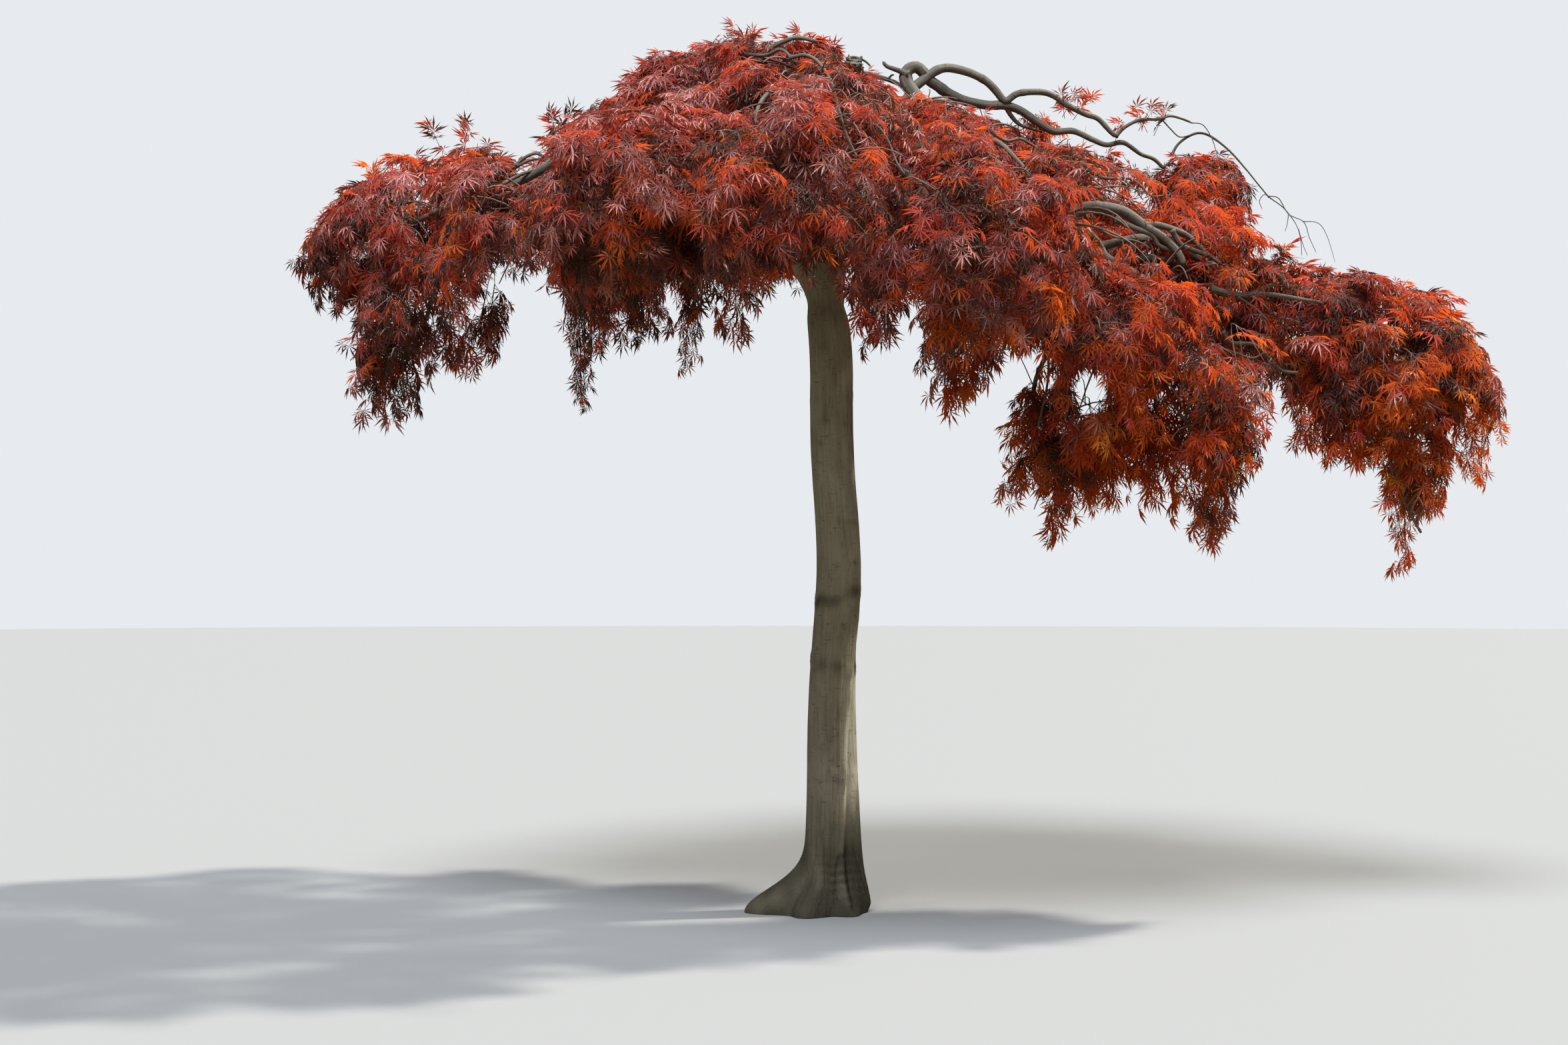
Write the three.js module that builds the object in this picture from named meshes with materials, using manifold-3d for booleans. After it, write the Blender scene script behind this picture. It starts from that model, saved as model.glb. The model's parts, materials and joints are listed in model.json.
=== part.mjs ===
// Weeping laceleaf maple, grafted high on a clear stem.
// Millimetres, +Z up. The origin is the middle of the flat cut at ground level.
// +X runs along the longest arm of the crown and -Y is the front.
import * as THREE from 'three';
import { mergeVertices } from 'three/addons/utils/BufferGeometryUtils.js';
import Module from 'manifold-3d';

const wasm = await Module();
wasm.setup();

// Trunk
const FORK_HEIGHT = 2950;
const STEM_RADIUS = 96;
const BUTT = { swell: 38, height: 700 };
const NECK = { waist: 14, height: 2770, spread: 60 };
const FORK_SWELL = { swell: 30, start: 2830 };
const BEND = { aside: 33, height: 1560, spread: 380 };
const TOP_LEAN = { aside: 57, start: 2400 };
const BACK_SWAY = { aside: 18, wave: 2600 };
const ROOTS = [
  { azimuth: 184, reach: 262, height: 150 },
  { azimuth: 236, reach: 120, height: 120 },
  { azimuth: 300, reach: 60, height: 130 },
  { azimuth: 352, reach: 30, height: 170 },
  { azimuth: 62, reach: 105, height: 120 },
  { azimuth: 124, reach: 90, height: 140 },
];
const ROOT_SPREAD = 24;
const TRUNK_SIDES = 16;
const TRUNK_RINGS = 12;

// Limbs and twigs
const CLEAR = 0.3;
const LIMB_SIDES = 5;
const RING_SPACING = 210;
const SWAY = 0.035;
const LEAD_IN = 0.3;
const STEM_SIDES = 4;
const TWIG_SIDES = 3;
const TWIG_RADIUS = 9;
const TWIG_TIP = 5;

// Sprays of foliage. One blade stands for a spray of cut leaves.
const SPRAYS = { dense: 16, open: 9 };
const SPRAY_TOP = 0.86;
const SPRAY_BOTTOM = -0.88;
const BLADE = { length: 390, width: 250, thick: 40, widest: 0.5, droop: 0.1 };
const BLADE_SIZES = [1, 1, 1, 0.9, 0.9, 0.9, 0.8, 0.8, 0.7, 0.7, 0.6];
const BLADE_ROLL = 0.8;
const HANG_TOP = -0.55;
const HANG_FOOT = 1.7;
const TIP_SHARE = 0.965;
const CORE_SHARES = [0.66, 0.6, 0.54, 0.48, 0.42, 0.36, 0.3, 0.24];
const LIMB_MARGIN = 14;
const NEIGHBOUR_MARGIN = 6;
const GOLDEN_ANGLE = Math.PI * (3 - Math.sqrt(5));

// Colours
const BARK = { color: 0x6f6259, roughness: 0.9, metalness: 0 };
const LEAF_TINTS = [0x8c1220, 0xa5161c, 0x6d0f22, 0xb32a18];

// Each limb: the limb it leaves and where, then its end or the middle of the mass it carries
// (azimuth in degrees, reach from the stem, height), how it rises and droops, and its radii.
// A mass is given by its half sizes: outward, across and upright.
const limb = (name, from, at, azimuth, reach, height, rise, droop, girth, tip, mass) =>
  ({ name, from, at, azimuth, reach, height, rise, droop, girth, tip, mass });

const LIMBS = [
  limb('bough_top', 'trunk', 0.95, 190, 320, 3745, 330, -300, 64, 26, [520, 480, 275]),
  limb('bough_west', 'trunk', 0.965, 187, 930, 3530, 300, 10, 60, 26, [470, 500, 260]),
  limb('bough_east', 'trunk', 0.965, 343, 520, 3580, 300, -70, 62, 30, [440, 470, 250]),
  limb('bough_south', 'bough_top', 0.26, 262, 760, 3460, 210, 30, 46, 20, [470, 520, 310]),
  limb('bough_north', 'bough_top', 0.33, 92, 760, 3530, 240, 30, 46, 20, [470, 530, 270]),

  limb('limb_south', 'bough_south', 0.55, 264, 1500, 3010, 60, 230, 26, 13, [480, 600, 380]),
  limb('limb_southwest', 'bough_south', 0.4, 234, 1470, 3000, 100, 230, 26, 13, [500, 550, 400]),
  limb('limb_south_southeast', 'bough_east', 0.42, 291, 1400, 2800, 200, 300, 27, 13, [470, 520, 520]),
  limb('limb_southeast', 'bough_east', 0.6, 318, 1330, 2980, 110, 230, 28, 14, [480, 520, 410]),

  limb('limb_far_west', 'bough_west', 0.66, 184, 2050, 3070, 130, 190, 34, 14, [450, 500, 370]),
  limb('limb_west', 'limb_far_west', 0.36, 170, 1580, 3170, 50, 130, 22, 12, [480, 480, 380]),
  limb('limb_west_front', 'bough_west', 0.5, 205, 1520, 2940, 150, 300, 27, 13, [520, 520, 450]),
  limb('limb_west_low', 'limb_far_west', 0.8, 188, 1970, 2560, 20, 240, 14, 8, [260, 350, 320]),

  limb('limb_east_arm', 'bough_east', 0.8, 351, 1620, 2770, 60, 210, 38, 20, [460, 480, 400]),
  limb('limb_east_upper', 'limb_east_arm', 0.2, 358, 1160, 3290, 60, 60, 22, 12, [460, 460, 300]),
  limb('limb_east_front', 'limb_east_arm', 0.4, 331, 1370, 2500, 20, 330, 22, 12, [430, 460, 440]),
  limb('limb_east_low', 'limb_east_arm', 0.74, 344, 1760, 2150, 0, 330, 16, 9, [390, 430, 400]),
  limb('limb_low_east', 'limb_east_front', 0.8, 343, 1120, 2040, 0, 330, 14, 9, [370, 400, 390]),
  limb('limb_far_east', 'limb_east_arm', 0.9, 2, 2330, 2630, 90, 60, 22, 13, [460, 520, 330]),
  limb('limb_far_east_end', 'limb_east_arm', 0.82, 359, 2800, 2430, 160, 230, 20, 10, [350, 480, 380]),
  limb('limb_far_east_low', 'limb_far_east_end', 0.8, 356, 2640, 1960, 0, 400, 13, 8, [270, 300, 410]),

  limb('limb_ridge_inner', 'bough_top', 0.7, 14, 830, 3757, 420, 150, 32, 19, null),
  limb('limb_ridge_middle', 'limb_ridge_inner', 0.98, 11, 1360, 3590, 90, 120, 18, 14, null),
  limb('limb_ridge_outer', 'limb_ridge_middle', 0.97, 10, 2080, 3290, 190, 330, 13, 6, null),
  limb('limb_ridge_low', 'limb_ridge_inner', 0.42, 13, 1850, 3290, 20, 60, 24, 12, [320, 440, 265]),

  limb('limb_northeast_upper', 'bough_east', 0.45, 38, 930, 3500, 160, 40, 28, 14, [470, 480, 270]),
  limb('limb_northeast', 'bough_north', 0.5, 60, 1640, 3160, 120, 150, 26, 13, [500, 530, 350]),
  limb('limb_east_north', 'limb_northeast_upper', 0.6, 30, 1900, 2980, 80, 230, 24, 12, [500, 510, 380]),
  limb('limb_north', 'bough_north', 0.6, 97, 1610, 3270, 70, 110, 24, 13, [490, 560, 320]),
  limb('limb_northwest', 'bough_west', 0.42, 135, 1590, 3150, 180, 170, 28, 13, [500, 560, 360]),
];

// The bare ends: thin masses that stay open, with no core.
const OPEN_MASSES = ['limb_west_low', 'limb_far_east_low'];

const degrees = Math.PI / 180;
const up = new THREE.Vector3(0, 0, 1);

// One repeatable stream of numbers from 0 to 1 for each seed
function stream(seed) {
  let state = (seed * 7919 + 104729) % 2147483647;
  return () => {
    state = (state * 16807) % 2147483647;
    return state / 2147483647;
  };
}

function outward(azimuth) {
  return new THREE.Vector3(Math.cos(azimuth * degrees), Math.sin(azimuth * degrees), 0);
}

function polar(azimuth, reach, height) {
  return outward(azimuth).multiplyScalar(reach).setZ(height);
}

// Middle line of the trunk at a height
function stemAt(height) {
  const bend = BEND.aside * Math.exp(-(((height - BEND.height) / BEND.spread) ** 2));
  const rise = Math.max(0, height - TOP_LEAN.start) / (FORK_HEIGHT - TOP_LEAN.start);
  const back = BACK_SWAY.aside * Math.sin((2 * Math.PI * height) / BACK_SWAY.wave);
  return new THREE.Vector3(bend - TOP_LEAN.aside * rise * rise, back, height);
}

// Radius of the trunk at a height, on one side of it
function stemRadius(azimuth, height) {
  let radius = STEM_RADIUS + BUTT.swell * Math.exp(-height / BUTT.height);
  radius -= NECK.waist * Math.exp(-(((height - NECK.height) / NECK.spread) ** 2));
  radius += (FORK_SWELL.swell * Math.max(0, height - FORK_SWELL.start)) / (FORK_HEIGHT - FORK_SWELL.start);
  for (const root of ROOTS) {
    const turn = ((azimuth - root.azimuth + 540) % 360) - 180;
    const lobe = Math.exp(-((turn / ROOT_SPREAD) ** 2));
    radius += root.reach * lobe * Math.exp(-((height / root.height) ** 2));
  }
  return radius;
}

// A cylinder whose rings are set along a middle line, each with its own radius
function tube(at, sides, rings, radiusAt, grow = 0) {
  const shape = new THREE.CylinderGeometry(1, 1, 1, sides, rings);
  const place = shape.attributes.position;
  const line = new THREE.Curve();
  line.getPoint = at;
  const frames = frameAlong(line, rings);
  for (let i = 0; i < place.count; i += 1) {
    const ring = Math.round((place.getY(i) + 0.5) * rings);
    const share = ring / rings;
    const across = Math.hypot(place.getX(i), place.getZ(i));
    const turn = Math.atan2(place.getZ(i), place.getX(i));
    const radius = across * (radiusAt(share, turn) + grow);
    const point = at(share);
    point.addScaledVector(frames.side[ring], Math.cos(turn) * radius);
    point.addScaledVector(frames.cross[ring], Math.sin(turn) * radius);
    if (ring === 0) point.addScaledVector(frames.along[ring], -grow);
    if (ring === rings) point.addScaledVector(frames.along[ring], grow);
    place.setXYZ(i, point.x, point.y, point.z);
  }
  return shape;
}

// Directions along a middle line and square to it, carried on without twist
function frameAlong(line, rings) {
  const along = [];
  const side = [];
  const cross = [];
  for (let i = 0; i <= rings; i += 1) {
    along.push(line.getTangent(i / rings));
    const start = i === 0 ? steady(along[0]) : side[i - 1].clone();
    side.push(start.addScaledVector(along[i], -start.dot(along[i])).normalize());
    cross.push(side[i].clone().cross(along[i]));
  }
  return { along, side, cross };
}

// A direction that is never in line with the one given
function steady(direction) {
  return Math.abs(direction.z) > 0.8 ? new THREE.Vector3(1, 0, 0) : up.clone();
}

function solidFrom(geometry) {
  const plain = geometry.clone();
  plain.deleteAttribute('normal');
  plain.deleteAttribute('uv');
  const merged = mergeVertices(plain, 1e-3);
  const corners = merged.index.array;
  const faces = [];
  for (let i = 0; i < corners.length; i += 3) {
    const [a, b, c] = corners.slice(i, i + 3);
    if (a !== b && b !== c && c !== a) faces.push(a, b, c);
  }
  return new wasm.Manifold(new wasm.Mesh({
    numProp: 3,
    vertProperties: new Float32Array(merged.attributes.position.array),
    triVerts: new Uint32Array(faces),
  }));
}

// The largest body of a solid: loose scraps and sealed hollows are dropped
function mainBody(solid) {
  const bodies = solid.decompose();
  return bodies.reduce((best, body) => (body.volume() > best.volume() ? body : best));
}

function geometryFrom(solid) {
  const mesh = solid.getMesh();
  const geometry = new THREE.BufferGeometry();
  geometry.setAttribute('position', new THREE.BufferAttribute(new Float32Array(mesh.vertProperties), 3));
  geometry.setIndex(new THREE.BufferAttribute(new Uint32Array(mesh.triVerts), 1));
  geometry.computeVertexNormals();
  return geometry;
}

// Where a mass lies, and the directions of its half sizes
function spaceOf(row) {
  const [out, across, tall] = row.mass;
  const away = outward(row.azimuth);
  return {
    middle: polar(row.azimuth, row.reach, row.height),
    axes: [away, new THREE.Vector3(-away.y, away.x, 0), up.clone()],
    half: [out, across, tall],
    size: (out + across + tall) / 3,
    open: OPEN_MASSES.includes(row.name),
  };
}

// A limb ends at the inner upper side of its mass
function endOf(row) {
  if (!row.mass) return polar(row.azimuth, row.reach, row.height);
  const space = spaceOf(row);
  return space.middle.addScaledVector(space.axes[0], -0.5 * space.half[0])
    .addScaledVector(up, 0.22 * space.half[2]);
}

// Middle line of a limb: an arch from its parent to its end, with a slight sway
function archOf(row, start, seed) {
  const random = stream(seed);
  const end = endOf(row);
  const run = end.clone().sub(start).setZ(0);
  const lift = start.clone().addScaledVector(run, LEAD_IN).addScaledVector(up, row.rise);
  const fall = end.clone().addScaledVector(run, -LEAD_IN).addScaledVector(up, row.droop);
  const arch = new THREE.CubicBezierCurve3(start, lift, fall, end);
  const length = arch.getLength();
  const aside = new THREE.Vector3(-run.y, run.x, 0).normalize();
  const waves = [1.5 + random(), 1.5 + random()];
  const phases = [random() * 6, random() * 6];
  return {
    length,
    at: (share) => {
      const sway = SWAY * length * Math.sin(Math.PI * share);
      return arch.getPoint(share)
        .addScaledVector(aside, sway * Math.sin(2 * Math.PI * waves[0] * share + phases[0]))
        .addScaledVector(up, 0.6 * sway * Math.sin(2 * Math.PI * waves[1] * share + phases[1]));
    },
  };
}

// The trunk: level rings round its middle line, closer together at the root flare
function trunkSolid(grow) {
  const shape = new THREE.CylinderGeometry(1, 1, 1, TRUNK_SIDES, TRUNK_RINGS);
  const points = shape.attributes.position;
  for (let i = 0; i < points.count; i += 1) {
    const share = points.getY(i) + 0.5;
    const height = FORK_HEIGHT * share ** 1.5;
    const turn = -Math.atan2(points.getZ(i), points.getX(i));
    const across = Math.hypot(points.getX(i), points.getZ(i));
    const radius = across * (stemRadius((turn / degrees + 720) % 360, height) + grow);
    const point = stemAt(height);
    const lift = share > 0.999 ? grow : 0;
    points.setXYZ(i, point.x + radius * Math.cos(turn), point.y + radius * Math.sin(turn), point.z + lift);
  }
  return solidFrom(shape);
}

// Each limb is cut 0.3 mm clear of the wood built before it. Its fat copy is what it cuts others with.
const limbs = new Map();

function addTrunk() {
  limbs.set('trunk', {
    at: (share) => stemAt(FORK_HEIGHT * share),
    length: FORK_HEIGHT,
    radius: () => STEM_RADIUS,
    solid: trunkSolid(0),
    fat: trunkSolid(CLEAR),
  });
}

function addLimb(row, seed) {
  const { at, length } = archOf(row, limbs.get(row.from).at(row.at), seed);
  const rings = Math.max(3, Math.round(length / RING_SPACING));
  const radius = (share) => row.girth + (row.tip - row.girth) * share ** 0.8;
  const whole = solidFrom(tube(at, LIMB_SIDES, rings, radius));
  const fat = solidFrom(tube(at, LIMB_SIDES, rings, radius, CLEAR));
  const box = whole.boundingBox();
  const others = [...limbs.values()].filter((other) => boxesMeet(box, other.fat.boundingBox()));
  const solid = mainBody(others.reduce((rest, other) => rest.subtract(other.fat), whole));
  limbs.set(row.name, { at, length, radius, solid, fat });
}

function boxesMeet(a, b) {
  return [0, 1, 2].every((axis) => a.min[axis] < b.max[axis] + 1 && b.min[axis] < a.max[axis] + 1);
}

addTrunk();
LIMBS.forEach((row, index) => addLimb(row, index + 1));

// Points along every limb, for keeping foliage off the wood
const woodPoints = [];
for (const { at, radius, length } of limbs.values()) {
  const steps = Math.ceil(length / 25);
  for (let i = 0; i <= steps; i += 1) {
    woodPoints.push({ point: at(i / steps), radius: radius(i / steps) });
  }
}

const carriers = LIMBS.filter((row) => row.mass);
const spaces = carriers.map(spaceOf);

// A point is in a mass's own space when it is inside the mass's oval and nearer to it than to any other
function inSpace(point, own) {
  const from = point.clone().sub(own.middle);
  const squares = own.axes.map((axis, i) => (from.dot(axis) / own.half[i]) ** 2);
  if (squares[0] + squares[1] + squares[2] > 1) return false;
  const nearness = from.lengthSq() - own.size ** 2;
  return spaces.every((other) => {
    if (other === own) return true;
    const gap = other.middle.distanceTo(own.middle);
    return point.distanceToSquared(other.middle) - other.size ** 2 - nearness > 2 * gap * NEIGHBOUR_MARGIN;
  });
}

function clearOfWood(points, near) {
  return near.every((wood) => points.every((point) => {
    return point.distanceTo(wood.point) > wood.radius + LIMB_MARGIN;
  }));
}

// One spray: a three-sided twig from its start to the blade's root, widening there into a flat
// blade with a ridge, widest before its middle, whose tip droops to a point
function sprayGeometry(start, root, direction, size, roll) {
  const length = BLADE.length * size;
  const middle = root.clone().addScaledVector(direction, BLADE.widest * length);
  const tip = root.clone().addScaledVector(direction, length).addScaledVector(up, -BLADE.droop * length);
  const centres = [start, root, middle, tip];
  const widths = [TWIG_RADIUS, TWIG_TIP, 0.5 * BLADE.width * size, 0];
  const heights = [TWIG_RADIUS, TWIG_TIP, 0.5 * BLADE.thick * size, 0];
  const side = direction.clone().cross(up).normalize().applyAxisAngle(direction, roll);
  const shape = new THREE.CylinderGeometry(1, 1, 1, TWIG_SIDES, centres.length - 1);
  const points = shape.attributes.position;
  for (let i = 0; i < points.count; i += 1) {
    const ring = Math.round((points.getY(i) + 0.5) * (centres.length - 1));
    const before = centres[Math.max(0, ring - 1)];
    const along = centres[Math.min(centres.length - 1, ring + 1)].clone().sub(before).normalize();
    const face = side.clone().cross(along).normalize();
    const point = centres[ring].clone()
      .addScaledVector(side, points.getX(i) * widths[ring])
      .addScaledVector(face, points.getZ(i) * heights[ring]);
    points.setXYZ(i, point.x, point.y, point.z);
  }
  return shape;
}

// The corners of a spray that have to stay in its mass's own space
function cornersOf(geometry) {
  const points = geometry.attributes.position;
  return Array.from({ length: points.count }, (_, i) => new THREE.Vector3().fromBufferAttribute(points, i));
}

// One mass: a stem from the limb's tip, and sprays whose tips are dealt evenly over its outer face,
// each on a twig that branches from the stem. A spray that leaves the space, or touches a limb or
// another spray, is tried again smaller, and then skipped.
function growMass(row, index) {
  const own = spaces[index];
  const random = stream(500 + index);
  const near = woodPoints.filter((wood) => wood.point.distanceTo(own.middle) < Math.max(...own.half) + 100);
  const wood = [...limbs.values()].map((other) => other.fat)
    .filter((fat) => boxesMeet(fat.boundingBox(), boxOf(own)));
  const stem = stemOf(row, own);
  const core = own.open ? null : coreSolid(own, wood);

  const sprays = [];
  const count = own.open ? SPRAYS.open : SPRAYS.dense;
  for (let i = 0; i < count; i += 1) {
    const start = own.open ? stem.at(0.3 + (0.7 * i) / count) : own.middle;
    for (const size of BLADE_SIZES) {
      const shape = dealSpray(own, start, i, count, size, random);
      const corners = cornersOf(shape).filter((corner) => corner.distanceTo(start) > 2 * TWIG_RADIUS);
      if (!corners.every((corner) => inSpace(corner, own)) || !clearOfWood(corners, near)) continue;
      const spray = solidFrom(shape);
      const shown = core ? spray.subtract(core) : spray;
      if (!clearOf(spray, wood) || !clearOf(shown, sprays)) continue;
      sprays.push(spray);
      break;
    }
  }
  const heart = core ? [core] : [];
  const whole = wasm.Manifold.union([stem.solid, ...heart, ...sprays]);
  return mainBody(wood.reduce((rest, fat) => rest.subtract(fat), whole));
}

// The shape of one spray, from its place in the deal: level by level down the mass, turning as it goes
function dealSpray(own, start, index, count, size, random) {
  const level = SPRAY_TOP - ((SPRAY_TOP - SPRAY_BOTTOM) * (index + random())) / count;
  const turn = GOLDEN_ANGLE * index + 1.2 * random();
  const flat = Math.sqrt(1 - level * level);
  const way = [flat * Math.cos(turn), flat * Math.sin(turn), level];
  const direction = hangOf(own, way, random);
  const roll = (random() - 0.5) * BLADE_ROLL;
  const length = BLADE.length * size;
  const root = placeIn(own, way, TIP_SHARE).addScaledVector(direction, -length)
    .addScaledVector(up, BLADE.droop * length);
  return sprayGeometry(start, root, direction, size, roll);
}

function clearOf(solid, others) {
  return others.every((other) => solid.intersect(other).isEmpty());
}

// The stem of a mass runs on from the limb's tip to the middle, or down through an open mass
function stemOf(row, own) {
  const carrier = limbs.get(row.name);
  const tip = carrier.at(1);
  const heading = tip.clone().sub(carrier.at(0.98)).normalize();
  const start = tip.clone().addScaledVector(heading, CLEAR);
  const end = own.middle.clone().addScaledVector(up, own.open ? -0.6 * own.half[2] : 0);
  const bend = start.clone().addScaledVector(heading, start.distanceTo(end) * 0.4);
  const line = new THREE.QuadraticBezierCurve3(start, bend, end);
  const at = (share) => line.getPoint(share);
  const radiusAt = (share) => row.tip + (TWIG_RADIUS - row.tip) * share;
  return { at, solid: solidFrom(tube(at, STEM_SIDES, 3, radiusAt)) };
}

// A point of a mass's space, by its direction from the middle and its share of the half sizes
function placeIn(own, way, share) {
  const point = own.middle.clone();
  own.axes.forEach((axis, i) => point.addScaledVector(axis, way[i] * own.half[i] * share));
  return point;
}

// Sprays lie flat and outward at the top of a mass and hang down steeply at its foot
function hangOf(own, way, random) {
  const direction = own.axes[0].clone().multiplyScalar(way[0] + 0.35)
    .addScaledVector(own.axes[1], way[1]).normalize();
  const drop = HANG_TOP + (HANG_FOOT - HANG_TOP) * (1 - way[2]) * 0.5 + 0.3 * random();
  return direction.addScaledVector(up, -drop).normalize();
}

// The upright box round a mass's space
function boxOf(own) {
  const reach = Math.max(own.half[0], own.half[1]);
  const { x, y, z } = own.middle;
  return {
    min: [x - reach, y - reach, z - own.half[2]],
    max: [x + reach, y + reach, z + own.half[2]],
  };
}

// The dense heart of a mass, as large as fits clear of the limbs that pass by
function coreSolid(own, wood) {
  const sizes = CORE_SHARES.map((share) => {
    const shape = new THREE.IcosahedronGeometry(1);
    const points = shape.attributes.position;
    for (let i = 0; i < points.count; i += 1) {
      const point = placeIn(own, [points.getX(i), points.getY(i), points.getZ(i)], share);
      points.setXYZ(i, point.x, point.y, point.z);
    }
    return solidFrom(shape);
  });
  return sizes.find((solid) => clearOf(solid, wood)) ?? sizes.at(-1);
}

const maple = new THREE.Group();

function addNode(name, solid, look) {
  const mesh = new THREE.Mesh(geometryFrom(solid), new THREE.MeshStandardMaterial(look));
  mesh.name = name;
  maple.add(mesh);
}

for (const [name, { solid }] of limbs) {
  addNode(name, solid, BARK);
}
carriers.forEach((row, index) => {
  const name = row.name.replace('limb_', 'foliage_').replace('bough_', 'foliage_upper_');
  const look = { color: LEAF_TINTS[index % LEAF_TINTS.length], roughness: 0.6, metalness: 0 };
  addNode(name, growMass(row, index), look);
});

export default maple;
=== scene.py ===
# %% [markdown]
# # A weeping laceleaf maple
# This lesson dresses a maple that was grafted high on a clear stem. Its limbs arch out from
# the fork and droop, and its finely cut red leaves hang from them in tiers, like a thatched roof.
# The solids of the tree give the size and the reach. Bark, twigs and leaves are grown here.

# %% Load the solids of the tree
import json
import math
from collections import namedtuple

import bmesh
import bpy
import numpy as np
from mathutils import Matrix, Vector, noise

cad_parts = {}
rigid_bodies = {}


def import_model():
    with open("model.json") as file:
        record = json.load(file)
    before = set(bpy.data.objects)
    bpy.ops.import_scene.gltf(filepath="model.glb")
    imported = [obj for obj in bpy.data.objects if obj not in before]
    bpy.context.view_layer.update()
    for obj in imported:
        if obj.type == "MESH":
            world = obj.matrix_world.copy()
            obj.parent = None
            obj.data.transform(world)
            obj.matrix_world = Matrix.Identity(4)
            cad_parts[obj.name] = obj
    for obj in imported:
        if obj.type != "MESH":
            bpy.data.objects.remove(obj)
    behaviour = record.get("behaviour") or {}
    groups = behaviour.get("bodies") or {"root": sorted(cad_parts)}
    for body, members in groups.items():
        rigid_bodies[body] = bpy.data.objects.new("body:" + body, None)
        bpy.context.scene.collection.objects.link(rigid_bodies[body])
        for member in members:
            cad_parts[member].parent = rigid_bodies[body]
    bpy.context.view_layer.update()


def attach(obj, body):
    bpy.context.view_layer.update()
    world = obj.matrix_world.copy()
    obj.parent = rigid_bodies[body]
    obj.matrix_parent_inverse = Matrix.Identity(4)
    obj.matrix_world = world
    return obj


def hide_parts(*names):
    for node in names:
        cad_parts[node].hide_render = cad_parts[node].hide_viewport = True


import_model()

MM = 0.001

# %% [markdown]
# ## The plan of the limbs
# A tree is easiest to grow from its middle lines. Each limb leaves another one at a share of its
# length, arches up and out, and droops to its end. The same named sizes shaped the solids, so the
# bark follows them. They are in millimetres. A limb that carries foliage also says how far its
# foliage reaches: outward, across and upright.

# %% The sizes of the trunk and of the limbs
FORK_HEIGHT = 2950
STEM_RADIUS = 96
BUTT = {"swell": 38, "height": 700}
NECK = {"waist": 14, "height": 2770, "spread": 60}
FORK_SWELL = {"swell": 30, "start": 2830}
BEND = {"aside": 33, "height": 1560, "spread": 380}
TOP_LEAN = {"aside": 57, "start": 2400}
BACK_SWAY = {"aside": 18, "wave": 2600}
ROOTS = [  # azimuth, reach, height
    (184, 262, 150), (236, 120, 120), (300, 60, 130), (352, 30, 170), (62, 105, 120), (124, 90, 140),
]
ROOT_SPREAD = 24
SWAY = 0.035
LEAD_IN = 0.3

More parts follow.
